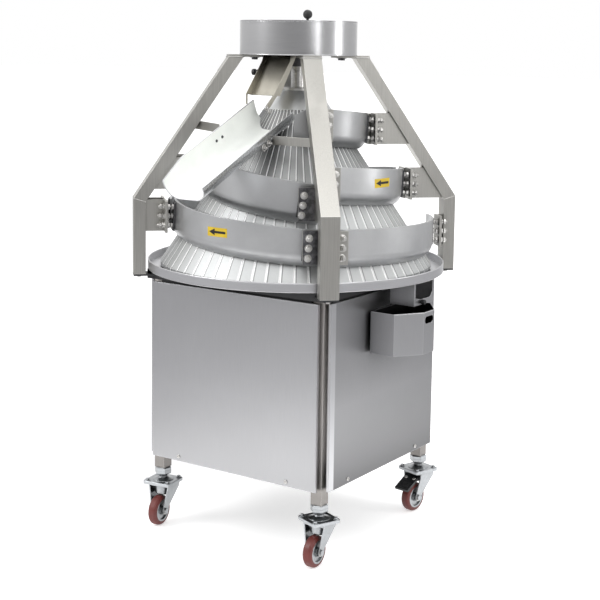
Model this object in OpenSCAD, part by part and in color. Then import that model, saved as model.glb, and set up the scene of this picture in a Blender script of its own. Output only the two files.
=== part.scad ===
// Dough rounder. A ribbed cone turns clockwise inside a climbing guide track, rolls pieces of dough
// up to the top and drops them on a chute. A flour drum stands on four bent legs above the cone,
// and the drive sits in a square cabinet on casters.
// The floor is z = 0, the cone's axis is the z axis, the front panel faces -y.

/* [Cabinet] */
// Width over the side panels
cabinet_w = 717; // [640:1:760]
// Height of a side panel
panel_h = 595; // [500:1:700]
// Depth of a panel's folded edges
panel_depth = 10; // [6:0.5:14]
// Sheet thickness of the panels
panel_sheet = 1.5; // [1:0.1:3]
// Distance from a panel's edge to the cabinet's corner
corner_gap = 30; // [22:1:40]
// Side of a square corner post
post_w = 40; // [36:1:50]
// Distance of a post's faces behind the panels' folded edges
post_inset = 11; // [0:1:16]
// Wall of the square tubes
tube_wall = 2.5; // [2:0.1:4]
// Length of a post below the panels
foot_show = 47; // [20:1:80]
// Gap between the panels and the deck
deck_gap = 7; // [3:0.5:15]
// Height of the deck's folded sides
deck_h = 32; // [24:1:45]
// Sheet thickness of the deck
deck_sheet = 3; // [2:0.5:5]

/* [Casters] */
// Wheel diameter
wheel_d = 100; // [90:1:110]
// Wheel width
wheel_w = 32; // [26:1:36]
// Thickness of the tyre's tread
tread = 13; // [9:1:16]
// Height from the floor to the top of the caster's plate
caster_h = 151; // [144:1:160]
// Distance of the wheel's axle behind the swivel's axis
trail = 26; // [20:1:32]
// Side of the caster's square plate
plate_w = 100; // [90:1:106]
// Diameter of the threaded stem
stem_d = 30; // [24:1:32]
// Thread showing between the plate and the nut
stem_show = 21; // [20:1:28]
// Width across the flats of the stem's nut
nut_flats = 50; // [44:1:54]
// Height of the stem's nut
nut_h = 24; // [18:1:32]

/* [Tray and cone] */
// Diameter of the tray
tray_d = 1000; // [970:1:1020]
// Height of the tray's rim
tray_h = 26.5; // [18:0.5:40]
// Sheet thickness of the tray
tray_sheet = 4; // [2:0.5:5]
// Diameter of the cone's foot
cone_d = 914; // [860:1:930]
// Diameter of the cone's flat top
cone_top_d = 132; // [120:1:160]
// Height of the cone's slope
cone_h = 584; // [540:1:640]
// Height of the cone's upright foot
skirt_h = 10; // [6:1:16]
// Clearance below the cone's foot
cone_lift = 7; // [4:0.5:12]
// Thickness of the cone's shell
cone_wall = 9; // [7:0.5:12]
// Number of ribs
rib_count = 64; // [48:1:72]
// Depth of a groove between two ribs at the foot
groove_depth = 3.5; // [2:0.1:4.5]
// Width of a groove at the foot
groove_w = 4; // [3:0.1:8]
// Share of the cone's slope that is ribbed
ribbed_share = 0.88; // [0.8:0.01:0.92]

/* [Guide track] */
// Height of a track segment
track_h = 120; // [105:1:130]
// Height of the segment after the drop
drop_track_h = 132; // [115:1:140]
// Thickness of the track's wall
track_wall = 8; // [5:0.5:12]
// Radius of the curled lower lip
lip_r = 45; // [38:1:55]
// Angle through which the lip curls in
lip_angle = 60; // [50:1:70]
// Clearance between the lip and the cone
track_gap = 4; // [3:0.5:6]
// Gap between two segments
joint_gap = 2; // [1:0.5:5]
// Width of a joint plate
joint_plate_w = 34; // [26:1:40]
// Height of a joint plate
joint_plate_h = 92; // [70:1:98]
// Thickness of a joint plate
joint_plate_t = 6; // [4:0.5:10]
// Distance from a leg's middle to a row of studs
stud_offset = 48; // [42:1:54]
// Diameter of an adjusting stud
stud_d = 10; // [8:0.5:12]
// Clearance between the joint plates and the bracket
bracket_gap = 18; // [16:1:22]
// Thickness of the bracket's plates
bracket_t = 8; // [5:0.5:10]

/* [Legs] */
// Width of a leg's tube along the tray's rim
leg_w = 60; // [50:1:70]
// Depth of a leg's tube
leg_t = 40; // [34:1:46]
// Gap between the tray and the legs
leg_gap = 10; // [4:0.5:20]
// Distance of a leg's foot below the tray
leg_drop = 14; // [10:0.5:20]
// Height of a leg's upright stretch
leg_rise = 247; // [200:1:300]
// Distance of the legs' upper ends outside the drum
leg_top_out = 18; // [10:1:30]
// Thickness of the plates at the legs' upper ends
leg_plate_t = 8; // [5:0.5:12]
// Length of those plates under the drum
leg_plate_reach = 78; // [60:1:95]
// Thickness of the ears that carry the legs
ear_t = 6; // [4:0.5:10]

/* [Flour drum] */
// Diameter of the drum
drum_d = 391; // [370:1:420]
// Height of the drum's shell
drum_h = 109; // [80:1:140]
// Wall of the drum
drum_wall = 2.5; // [1.5:0.1:4]
// Distance from the cone's top to the drum
neck_h = 108; // [96:1:120]
// Thickness of the lid
lid_t = 3; // [2:0.1:5]
// Diameter of the knob
knob_d = 30; // [24:1:40]
// Distance of the knob from the drum's axis
knob_reach = 150; // [120:1:165]
// Diameter of the hinge's barrel
hinge_d = 8; // [7:0.5:9]
// Diameter of the hinge's pin
hinge_pin_d = 4; // [3:0.1:5]
// Length of the hinge
hinge_l = 180; // [120:1:240]

/* [Flour hood] */
// Width of the hood
hood_w = 112; // [90:1:118]
// Distance of the hood's lip in front of the axis
hood_reach = 218; // [205:1:230]
// Height of the hood below the drum
hood_h = 131; // [115:1:140]
// Sheet thickness of the hood
hood_sheet = 2; // [1.5:0.1:3]

/* [Chute] */
// Width of the chute
chute_w = 150; // [130:1:165]
// Slope of the chute
chute_slope = 24; // [20:0.5:27]
// Distance of the chute's end in front of the axis
chute_reach = 588; // [560:1:620]
// Height of the chute's floor above the cone's foot, at the axis of the cone
chute_lift = 519; // [510:1:540]
// Height of the chute's left wall
chute_left_h = 84; // [70:1:95]
// Height of the chute's right wall
chute_right_h = 46; // [40:1:60]
// Sheet thickness of the chute
chute_sheet = 2.5; // [1.5:0.1:4]
// Clearance between the chute and the cone
chute_gap = 6; // [4:0.5:10]
// Width of the chute's flat bars
bar_w = 28; // [20:1:34]
// Thickness of the chute's flat bars
bar_t = 5; // [3:0.5:8]

/* [Catch bin] */
// Width of the bin
bin_w = 240; // [200:1:260]
// Depth of the bin's straight sides
bin_side = 86; // [70:1:100]
// Depth of the bin's slanted corners
bin_corner = 60; // [45:1:70]
// Width of the bin's front
bin_front_w = 70; // [64:1:90]
// Height of the bin
bin_h = 135; // [110:1:160]
// Distance from the tray down to the bin
bin_drop = 95; // [90:1:110]
// Distance of the bin's middle to the right of the cabinet's middle
bin_shift = 8; // [0:1:20]
// Sheet thickness of the bin
bin_sheet = 2; // [1.5:0.1:3]
// Height of the spout above the bin
spout_h = 80; // [70:1:84]

/* [Drive] */
// Diameter of the shaft inside the cone
shaft_d = 40; // [36:1:50]
// Diameter of the shaft above the cone
neck_d = 47; // [42:0.5:52]
// Running clearance around shafts and pins
run_gap = 0.05; // [0.02:0.01:0.1]

/* [Hidden] */
// Overrun of cuts
over = 1;
// Gap between a moving piece and the face that it rests on
rest_gap = 0.3;

// Heights of the cabinet
post_z = caster_h + stem_show + nut_h;
panel_z = post_z + foot_show;
post_top = panel_z + panel_h + deck_gap;
tray_z = post_top + deck_h;
half_w = cabinet_w / 2;
rail_at = half_w - panel_depth - post_w / 2;
post_at = rail_at - post_inset;
panel_half = half_w - corner_gap;
corners = [[1, -1], [-1, -1], [1, 1], [-1, 1]];

// Deck
deck_inset = 3;
deck_half = half_w - deck_inset;
drive_hole_d = 150;

// Caster details: fork, pins, brake pedal, and the heading of each swivel at rest
plate_t = 10;
plate_angles = [-24, 8, -18, -11];
dome_h = 12;
dome_d = 70;
stem_in_post = 24;
king_d = 14;
king_head_d = 24;
king_head_h = 5;
crown_t = 9;
crown_lead = 42;
crown_trail = 30;
crown_step = 1;
fork_lean = 10;
fork_t = 4;
fork_gap = 4;
boss_d = 26;
axle_d = 12;
axle_nut_d = 20;
axle_nut_h = 7;
swivel_gap = 0.5;
tyre_round = 10;
hub_recess = 5;
hub_rim = 6;
hub_boss_d = 30;
heading_angles = [182, 188, 172, 160];
pedal_pin_d = 6;
pedal_pin_edge = 6;
pedal_pin_drop = 9;
pedal_l = 76;
pedal_t = 9;
pedal_play = 5;
pedal_slope = 28;
pedal_eye_d = 14;
axle_z = wheel_d / 2;
crown_top = caster_h - plate_t - swivel_gap;
crown_z = crown_top - crown_t;
fork_in = wheel_w / 2 + fork_gap;
fork_out = fork_in + fork_t;
pedal_pin_z = crown_z - pedal_pin_drop;
pedal_pin_y = crown_trail - pedal_pin_edge;
// Distance of a leaning cheek's inner face from the wheel's middle at a height
function cheek_in(z) = fork_in + (z - axle_z) * tan(fork_lean);
pedal_w = 2 * (cheek_in(pedal_pin_z) - pedal_play);

// Panel screws and leg bolts
screw_d = 14;
screw_h = 3;
screw_rise = 15;
screw_share = 0.66;
leg_bolt_flats = 13;
leg_bolt_h = 7;

// Tray and cone
cone_z = tray_z + tray_sheet + cone_lift;
slope_z = cone_z + skirt_h;
cone_top_z = slope_z + cone_h;
cone_slope = (cone_d - cone_top_d) / 2 / cone_h;
ribbed_h = cone_h * ribbed_share;
ribbed_top_r = cone_d / 2 - ribbed_h * cone_slope;
cap_lip = 6;
cap_plate_t = 8;
function cone_r(z) = cone_d / 2 - cone_slope * (z - slope_z);

// Guide track: each segment spans the gap between two legs, clockwise from the right leg, and
// the table gives its lip's height at both ends as shares of the cone's slope
first_angle = 45;
leg_step = 90;
track_lift_shares = [
    [0.055, 0.077], [0.077, 0.158], [0.158, 0.243], [0.243, 0.329], [0.329, 0.389],
    [0.281, 0.397], [0.397, 0.521], [0.521, 0.647], [0.647, 0.699]
];
drop_segment = 5;
top_segment = 8;
top_sweep_angle = 107;
plate_rise = 22;
studs_per_plate = 3;
stud_out = 50;
stud_nut_d = 18;
stud_nut_h = 7;
stud_nut_gap = 11;
stud_clear = 0.3;
web_at = 15;
bracket_edge = 6;
bracket_inner = 2;
end_overrun = 10;
end_cut_l = 44;
end_cut_h = 28;
lip_in = lip_r * (1 - cos(lip_angle));
lip_rise = lip_r * sin(lip_angle);
function seg_h(i) = i == drop_segment ? drop_track_h : track_h;
function seg_sweep(i) = i == top_segment ? top_sweep_angle : leg_step;
function seg_half(i) = seg_sweep(i) / 2;
function seg_z(i, k) = slope_z + cone_h * track_lift_shares[i][k];
function seg_mid_z(i) = (seg_z(i, 0) + seg_z(i, 1)) / 2;
function seg_lip(i) = cone_r(seg_mid_z(i)) + track_gap + pow(seg_shift(i), 2) / cone_r(seg_mid_z(i)) / 2;
function seg_r(i) = seg_lip(i) + lip_in;
function seg_chord(i) = 2 * sin(seg_half(i));
function seg_tilt(i) = -atan((seg_z(i, 1) - seg_z(i, 0)) / (seg_lip(i) * seg_chord(i)));
function seg_shift(i) = cone_slope * (seg_z(i, 1) - seg_z(i, 0)) / seg_chord(i);
function seg_mid(i) = first_angle - leg_step * i - seg_half(i);
// Where a segment meets a leg: side 1 is its start, side -1 its end
function end_local(i, side) = side > 0 ? seg_half(i) : seg_half(i) - leg_step;
function end_leg(i, side) = first_angle - leg_step * (side > 0 ? i : i + 1);
// Middle of a row of studs: its angle in the segment's own frame, its distance from the axis along
// the leg's direction and its height
function row_rise() = plate_rise + joint_plate_h / 2;
function row_shift(i) = seg_shift(i) - row_rise() * sin(seg_tilt(i));
function row_turn(i, side) =
    asin((side * stud_offset + row_shift(i) * cos(end_local(i, side))) / seg_r(i));
function row_angle(i, side) = end_local(i, side) - row_turn(i, side);
function row_r(i, side) =
    seg_r(i) * cos(row_turn(i, side)) + row_shift(i) * sin(end_local(i, side));
function row_z(i, side) = seg_mid_z(i) + seg_r(i) * sin(row_angle(i, side)) * sin(seg_tilt(i))
    + row_rise() * cos(seg_tilt(i));
function mm_to_deg(mm, r) = mm / r * 180 / PI;

// Legs
leg_in = tray_d / 2 + leg_gap;
leg_out = leg_in + leg_t;
leg_mid = leg_in + leg_t / 2;
leg_z = tray_z - leg_drop;
drum_z = cone_top_z + neck_h;
leg_top_z = drum_z - leg_plate_t;
leg_top_r = drum_d / 2 + leg_top_out;
mitre_z = leg_z + leg_rise;
leg_lean = atan((leg_mid - leg_top_r) / (leg_top_z - mitre_z));
mitre_rise = tan(leg_lean / 2);
leg_angles = [for (c = corners) atan2(c.y, c.x)];
foot_plate_t = 5;

// Drum
lid_z = drum_z + drum_h;
lid_flap_edge = 1;
lid_fixed_edge = 3;
hinge_play = 1;
knob_stem_d = 9;
knob_stem_h = 8;
hinge_z = lid_z + rest_gap + lid_t / 2;
hinge_share = 0.5;
knuckle_l = hinge_l * hinge_share - hinge_play;
outer_l = hinge_l * (1 - hinge_share) / 2 - hinge_play;
outer_at = hinge_l * (1 + hinge_share) / 4;
lid_turn = -45;
floor_slot_w = 90;
floor_slot_l = 18;
floor_slot_at = 116;
bearing_d = 92;
bearing_flange_t = 9;
bearing_body_d = 66;
bearing_h = 37;
collar_ring_d = 58;
collar_ring_h = 12;
floor_hole_play = 1;
arm_count = 4;
arm_w = 16;
arm_h = 10;
arm_clear = 8;
arm_lift = 4;
agitator_hub_d = 70;
agitator_hub_h = 30;
shaft_end = 4;

// Flour hood: heights and distances of its corners below and in front of the drum's middle
hood_top_front = 122;
hood_neck_front = 130;
hood_top_back = 92;
hood_lip_back = 34;
hood_lip_drop = 5;
hood_neck_h = 20;
hood_tail_out = 45;
hood_tail_drop = 32;
hood_tail_w = 22;
hood_strip_w = 8;
hood_strip_drop = 28;

// Chute
chute_left_r = 48;
chute_right_r = 36;
chute_start_share = 0.2;
chute_taper_l = 100;
chute_taper_h = 24;
chute_floor_z = slope_z + chute_lift;
left_bar_lift = 472;
left_bar_out = 334;
right_bar_lift = 437;
right_bar_out = 248;

// Catch bin, its hook and the spout above it
bin_gap = 10;
bin_x = half_w + bin_gap;
bin_top = tray_z - bin_drop;
bin_z = bin_top - bin_h;
bin_fold_h = 15;
hook_w = 160;
hook_h = 42;
hook_t = 2.5;
hook_gap = 4.5;
bin_fold_in = bin_gap - bin_sheet - (hook_gap - bin_sheet) / 2;
slot_w = 54;
slot_h = 24;
slot_drop = 14;
spout_off = 30;
spout_x = half_w + spout_off;
spout_rim = 23.5;
spout_l = tray_d / 2 - spout_rim - spout_x;
spout_w = 130;
spout_shift = 40;
spout_sheet = 2;
window_w = 112;
window_h = 56;
window_drop = 6;
window_corner = 16;

// Drive
gearbox_w = 190;
gearbox_l = 150;
gearbox_h = 190;
gearbox_flange_l = 200;
gearbox_flange_t = 14;
gearbox_neck_d = 90;
motor_d = 146;
motor_l = 200;
motor_cowl_l = 50;
motor_cowl_d = 150;
motor_drop = 120;
terminal_w = 90;
terminal_h = 40;
terminal_at = 50;
fin_count = 24;
fin_w = 5;
fin_h = 8;
fin_end = 12;
beam_at = 125;
hub_plate_t = 12;
hub_sleeve_d = 80;
hub_sleeve_h = 70;
hub_drop = 60;
web_count = 4;
web_t = 12;
shaft_in_box = 120;

// Switch box on the left panel
switch_d = 62;
switch_w = 84;
switch_h = 150;
switch_drop = 120;
switch_wall = 3;
button_d = 30;
button_flange_d = 38;
button_out = 9;
button_flange_h = 3;
button_pitch = 60;
collar_d = 44;
collar_h = 5;

$fn = 64;

// Colours
steel = [0.72, 0.72, 0.71];
bright = [0.82, 0.83, 0.84];
cast = [0.66, 0.67, 0.69];
dark = [0.22, 0.22, 0.23];
red = [0.62, 0.13, 0.12];

// Square tube along z
module tube(w, wall, h) {
    difference() {
        translate([-w / 2, -w / 2, 0]) cube([w, w, h]);
        translate([-w / 2 + wall, -w / 2 + wall, -over])
            cube([w - 2 * wall, w - 2 * wall, h + 2 * over]);
    }
}

// Cabinet frame
module corner_posts() {
    color(steel)
    for (c = corners)
        translate([c.x * post_at, c.y * post_at, post_z])
            tube(post_w, tube_wall, post_top - post_z);
}

module rail_ring(z) {
    span = 2 * post_at - post_w;
    for (turn = [0 : leg_step : 3 * leg_step])
        rotate([0, 0, turn])
            translate([-span / 2, -rail_at, z + post_w / 2])
                rotate([0, 90, 0])
                    tube(post_w, tube_wall, span);
}

module frame_rails() {
    span = 2 * rail_at - post_w;
    color(steel) {
        rail_ring(panel_z);
        rail_ring(post_top - post_w);
        // Two beams across the top ring carry the gearbox
        for (side = [-1, 1])
            translate([side * beam_at, span / 2, post_top - post_w / 2])
                rotate([90, 0, 0])
                    tube(post_w, tube_wall, span);
    }
}

// Side panel: a sheet with its four edges folded in, facing -y before it is turned
module panel(turn) {
    color(bright)
    rotate([0, 0, turn])
        translate([-panel_half, -half_w, panel_z])
            difference() {
                cube([2 * panel_half, panel_depth, panel_h]);
                translate([panel_sheet, panel_sheet, panel_sheet])
                    cube([2 * panel_half - 2 * panel_sheet, panel_depth, panel_h - 2 * panel_sheet]);
            }
}

module front_panel() { panel(0); }
module right_panel() { panel(leg_step); }
module rear_panel() { panel(2 * leg_step); }
module left_panel() { panel(3 * leg_step); }

module frame_screws() {
    color(bright) {
        // Two screw heads low on each panel
        for (turn = [0 : leg_step : 3 * leg_step], side = [-1, 1])
            rotate([0, 0, turn])
                translate([side * panel_half * screw_share, -half_w, panel_z + screw_rise])
                    rotate([90, 0, 0])
                        cylinder(d = screw_d, h = screw_h);
        // One hexagon head under each leg's ear
        for (a = leg_angles)
            rotate([0, 0, a])
                translate([leg_mid, 0, leg_z - ear_t - leg_bolt_h])
                    cylinder(d = leg_bolt_flats / cos(30), h = leg_bolt_h, $fn = 6);
    }
}

// Deck: a square sheet with folded sides, and an ear under each leg
module deck() {
    skirt = deck_half - deck_sheet;
    color(steel)
    difference() {
        union() {
            difference() {
                translate([-deck_half, -deck_half, post_top])
                    cube([2 * deck_half, 2 * deck_half, deck_h]);
                translate([-skirt, -skirt, post_top - over])
                    cube([2 * skirt, 2 * skirt, deck_h - deck_sheet + over]);
            }
            for (a = leg_angles)
                rotate([0, 0, a])
                    translate([deck_half * sqrt(2) - leg_w / 2, -leg_w / 2, leg_z - ear_t])
                        cube([leg_out - deck_half * sqrt(2) + leg_w / 2, leg_w, ear_t]);
            // Pads that stand on the corner posts
            for (c = corners)
                translate([c.x * post_at - post_w / 2, c.y * post_at - post_w / 2, post_top])
                    cube([post_w, post_w, deck_h - deck_sheet / 2]);
        }
        translate([0, 0, post_top - over])
            cylinder(d = drive_hole_d, h = deck_h + 2 * over);
    }
}

module spout_box(inset, z, h) {
    translate([spout_x + inset, spout_shift - spout_w / 2 + inset, z])
        cube([spout_l - 2 * inset, spout_w - 2 * inset, h]);
}

module tray() {
    color(bright)
    difference() {
        translate([0, 0, tray_z]) cylinder(d = tray_d, h = tray_h);
        translate([0, 0, tray_z + tray_sheet]) cylinder(d = tray_d - 2 * tray_sheet, h = tray_h);
        translate([0, 0, tray_z - over]) cylinder(d = drive_hole_d, h = tray_h);
        spout_box(spout_sheet, tray_z - over, tray_h);
    }
}

// Spout under the tray that leads loose flour into the bin, with a window to look through
module flour_spout() {
    window_y = spout_shift - window_w / 2;
    window_z = tray_z - window_drop - window_h;
    color(steel)
    difference() {
        spout_box(0, tray_z - spout_h, spout_h);
        spout_box(spout_sheet, tray_z - spout_h - over, spout_h + 2 * over);
        translate([spout_x + spout_l / 2, 0, 0])
            rotate([90, 0, 90])
                linear_extrude(spout_l)
                    polygon([
                        [window_y, window_z], [window_y + window_w - window_corner, window_z],
                        [window_y + window_w, window_z + window_corner],
                        [window_y + window_w, window_z + window_h], [window_y, window_z + window_h]
                    ]);
    }
}

// Hook strip for the bin: a foot on the panel and a lip that stands off it
module bin_hook() {
    lip_x = half_w + hook_gap;
    color(steel)
    translate([0, bin_shift - hook_w / 2, bin_top - bin_sheet - rest_gap]) {
        translate([lip_x, 0, -hook_h]) cube([hook_t, hook_w, hook_h]);
        translate([half_w, 0, -hook_h])
            cube([lip_x + hook_t - half_w, hook_w, hook_h - bin_fold_h - hook_t]);
    }
}

// The bin's plan: straight sides, slanted corners and a narrower front, drawn in by its sheet
module bin_plan(inset) {
    slant = bin_w / 2 - bin_front_w / 2;
    edge = norm([bin_corner, slant]);
    side_y = bin_w / 2 - inset;
    corner_x = bin_side - inset * (edge - bin_corner) / slant;
    front_x = bin_side + bin_corner - inset;
    front_y = bin_front_w / 2 - inset * (edge - slant) / bin_corner;
    polygon([
        [inset, -side_y], [corner_x, -side_y], [front_x, -front_y],
        [front_x, front_y], [corner_x, side_y], [inset, side_y]
    ]);
}

module catch_bin() {
    slot_z = bin_h - slot_drop - slot_h / 2;
    color(steel)
    translate([bin_x, bin_shift, bin_z])
        difference() {
            union() {
                linear_extrude(bin_h) bin_plan(0);
                // The back's fold drops behind the hook's lip
                translate([-bin_fold_in - bin_sheet, -hook_w / 2, bin_h - bin_sheet])
                    cube([bin_fold_in + 2 * bin_sheet, hook_w, bin_sheet]);
                translate([-bin_fold_in - bin_sheet, -hook_w / 2, bin_h - bin_fold_h])
                    cube([bin_sheet, hook_w, bin_fold_h]);
            }
            translate([0, 0, bin_sheet]) linear_extrude(bin_h) bin_plan(bin_sheet);
            // Hand slot in the front
            translate([bin_side, 0, slot_z])
                rotate([0, 90, 0]) {
                    for (side = [-1, 1])
                        translate([0, side * (slot_w - slot_h) / 2, 0])
                            cylinder(d = slot_h, h = bin_corner + over);
                    translate([-slot_h / 2, -(slot_w - slot_h) / 2, 0])
                        cube([slot_h, slot_w - slot_h, bin_corner + over]);
                }
        }
}

// Side view of a leg in its own plane, drawn in by a tube wall
module leg_side(inset, low, high) {
    bend_out = mitre_z + (leg_t / 2 - inset) * mitre_rise;
    bend_in = mitre_z - (leg_t / 2 - inset) * mitre_rise;
    out_x = leg_out - inset;
    in_x = leg_in + inset;
    polygon([
        [in_x, low], [out_x, low], [out_x, bend_out],
        [out_x - (high - bend_out) * tan(leg_lean), high],
        [in_x - (high - bend_in) * tan(leg_lean), high], [in_x, bend_in]
    ]);
}

module leg_solid(inset, low, high) {
    translate([0, leg_w / 2 - inset, 0])
        rotate([90, 0, 0])
            linear_extrude(leg_w - 2 * inset)
                leg_side(inset, low, high);
}

// Everything outside a leg's inner face
module leg_outside() {
    bend_in = mitre_z - leg_t / 2 * mitre_rise;
    far = 2 * leg_out;
    translate([0, leg_out, 0])
        rotate([90, 0, 0])
            linear_extrude(2 * leg_out)
                polygon([
                    [leg_in, leg_z], [far, leg_z], [far, drum_z],
                    [leg_in - (drum_z - bend_in) * tan(leg_lean), drum_z], [leg_in, bend_in]
                ]);
}

module leg(a) {
    plate_in = drum_d / 2 - leg_plate_reach;
    plate_out = leg_top_r + leg_t / 2 / cos(leg_lean);
    color(steel)
    rotate([0, 0, a]) {
        // The tube runs into the plate under the drum
        difference() {
            leg_solid(0, leg_z, leg_top_z + leg_plate_t / 2);
            leg_solid(tube_wall, leg_z + foot_plate_t, leg_top_z);
        }
        translate([plate_in, -leg_w / 2, leg_top_z]) cube([plate_out - plate_in, leg_w, leg_plate_t]);
    }
}

module front_leg() { leg(leg_angles[0]); }
module left_leg() { leg(leg_angles[1]); }
module right_leg() { leg(leg_angles[2]); }
module rear_leg() { leg(leg_angles[3]); }

// Flour drum, its lid and the arms that stir the flour
module drum_shell() {
    color(bright)
    difference() {
        translate([0, 0, drum_z]) cylinder(d = drum_d, h = drum_h);
        translate([0, 0, drum_z + drum_wall]) cylinder(d = drum_d - 2 * drum_wall, h = drum_h);
        translate([0, 0, drum_z - over])
            cylinder(d = neck_d + 2 * floor_hole_play, h = drum_wall + 2 * over);
        translate([-floor_slot_w / 2, -floor_slot_at, drum_z - over])
            cube([floor_slot_w, floor_slot_l, drum_wall + 2 * over]);
    }
}

// Half of the lid on the +x side before it is turned, with its straight edge beside the hinge
module lid_half(z, edge) {
    intersection() {
        translate([0, 0, z]) cylinder(d = drum_d, h = lid_t);
        translate([edge, -drum_d, z - over]) cube([drum_d, 2 * drum_d, lid_t + 2 * over]);
    }
}

// Room around a stretch of the hinge's barrel
module hinge_room(at, long) {
    room = hinge_d + 2 * hinge_play;
    translate([-room / 2, at - long / 2 - hinge_play, hinge_z - room / 2])
        cube([room, long + 2 * hinge_play, room]);
}

module hinge_barrel(at, long) {
    translate([0, at + long / 2, hinge_z])
        rotate([90, 0, 0])
            cylinder(d = hinge_d, h = long);
}

module lid_fixed() {
    color(bright)
    rotate([0, 0, lid_turn]) {
        difference() {
            rotate([0, 0, 180]) lid_half(lid_z, lid_fixed_edge);
            hinge_room(0, knuckle_l);
        }
        // Two outer knuckles and the pin between them
        for (side = [-1, 1]) hinge_barrel(side * outer_at, outer_l);
        translate([0, hinge_l / 2, hinge_z])
            rotate([90, 0, 0])
                cylinder(d = hinge_pin_d, h = hinge_l);
    }
}

module lid_flap() {
    color(bright)
    rotate([0, 0, lid_turn])
        difference() {
            union() {
                difference() {
                    lid_half(lid_z + rest_gap, lid_flap_edge);
                    for (side = [-1, 1]) hinge_room(side * outer_at, outer_l);
                }
                hinge_barrel(0, knuckle_l);
            }
            translate([0, knuckle_l, hinge_z])
                rotate([90, 0, 0])
                    cylinder(d = hinge_pin_d + 2 * run_gap, h = 2 * knuckle_l);
        }
}

module lid_knob() {
    color(dark)
    rotate([0, 0, lid_turn])
        translate([knob_reach, 0, lid_z + lid_t + rest_gap]) {
            cylinder(d = knob_stem_d, h = knob_stem_h + knob_d / 2);
            translate([0, 0, knob_stem_h / 2 + knob_d / 2]) sphere(d = knob_d);
        }
}

module agitator() {
    hub_z = drum_z + drum_wall + arm_lift;
    arm_r = drum_d / 2 - drum_wall - arm_clear;
    color(steel)
    difference() {
        union() {
            translate([0, 0, hub_z]) cylinder(d = agitator_hub_d, h = agitator_hub_h);
            for (k = [0 : arm_count - 1])
                rotate([0, 0, k * 360 / arm_count])
                    translate([0, -arm_w / 2, hub_z]) cube([arm_r, arm_w, arm_h]);
        }
        translate([0, 0, hub_z - over]) cylinder(d = neck_d + 2 * run_gap, h = agitator_hub_h + 2 * over);
    }
}

// Flour hood: a steep floor between two side walls, hung under the drum
module hood_wall() {
    lip_z = drum_z - hood_h;
    polygon([
        [-hood_top_back, drum_z], [-hood_top_front, drum_z], [-hood_neck_front, drum_z - hood_neck_h],
        [-hood_reach, lip_z + hood_lip_drop], [-hood_reach + hood_lip_back, lip_z]
    ]);
}

// A narrow plate that runs on below the right wall's lip
module hood_tail() {
    lip_z = drum_z - hood_h;
    polygon([
        [-hood_reach, lip_z + hood_lip_drop], [-hood_reach - hood_tail_out, lip_z - hood_tail_drop],
        [-hood_reach - hood_tail_out + hood_tail_w, lip_z - hood_tail_drop - hood_lip_drop],
        [-hood_reach + hood_tail_w, lip_z + hood_lip_drop]
    ]);
}

// A strip that hangs straight down from the left wall's lip
module hood_strip() {
    lip_z = drum_z - hood_h;
    translate([-hood_reach, lip_z - hood_strip_drop])
        square([hood_strip_w, hood_strip_drop + hood_lip_drop]);
}

module flour_hood() {
    floor_run = hood_reach - hood_lip_back - hood_top_back;
    color(steel) {
        translate([-hood_w / 2, 0, 0])
            rotate([90, 0, 90])
                linear_extrude(hood_sheet) {
                    hood_wall();
                    hood_strip();
                }
        translate([hood_w / 2 - hood_sheet, 0, 0])
            rotate([90, 0, 90])
                linear_extrude(hood_sheet) {
                    hood_wall();
                    hood_tail();
                }
        // The floor between the walls
        translate([-hood_w / 2, 0, 0])
            rotate([90, 0, 90])
                linear_extrude(hood_w)
                    polygon([
                        [-hood_top_back, drum_z], [-hood_reach + hood_lip_back, drum_z - hood_h],
                        [
                            -hood_reach + hood_lip_back - hood_sheet,
                            drum_z - hood_h + hood_sheet * hood_h / floor_run
                        ],
                        [-hood_top_back - 2 * hood_sheet, drum_z]
                    ]);
    }
}

// Chute section: a trough with round corners, drawn in by its sheet and open at the top
module chute_section(inset) {
    left = -chute_w / 2 + inset;
    right = chute_w / 2 - inset;
    left_r = chute_left_r - inset;
    right_r = chute_right_r - inset;
    translate([left + left_r, chute_left_r]) circle(left_r);
    translate([right - right_r, chute_right_r]) circle(right_r);
    translate([left + left_r, inset]) square([right - right_r - left - left_r, chute_left_h]);
    translate([left, chute_left_r]) square([left_r, chute_left_h]);
    translate([right - right_r, chute_right_r]) square([right_r, chute_left_h]);
}

module chute_place() {
    translate([0, 0, chute_floor_z])
        rotate([chute_slope, 0, 0])
            children();
}

module chute() {
    run = chute_reach / cos(chute_slope);
    start = run * chute_start_share;
    color(bright)
    difference() {
        chute_place()
            difference() {
                rotate([90, 0, 0])
                    linear_extrude(run)
                        difference() {
                            chute_section(0);
                            chute_section(chute_sheet);
                        }
                // Wall heights: the left wall is the higher one
                translate([-chute_w, -run - over, chute_left_h])
                    cube([2 * chute_w, run + 2 * over, chute_w]);
                translate([0, -run - over, chute_right_h])
                    cube([chute_w, run + 2 * over, chute_w]);
                translate([-chute_w, -start, -over])
                    cube([2 * chute_w, run, 2 * chute_w]);
                // The left wall gets lower towards the lip
                rotate([90, 0, -90])
                    linear_extrude(chute_w)
                        polygon([
                            [run - chute_taper_l, chute_left_h],
                            [run + over, chute_left_h - chute_taper_h],
                            [run + over, chute_left_h + over], [run - chute_taper_l, chute_left_h + over]
                        ]);
            }
        // Room for the turning cone
        translate([0, 0, slope_z])
            cylinder(r1 = cone_d / 2 + chute_gap, r2 = cone_top_d / 2 + chute_gap, h = cone_h);
    }
}

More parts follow.
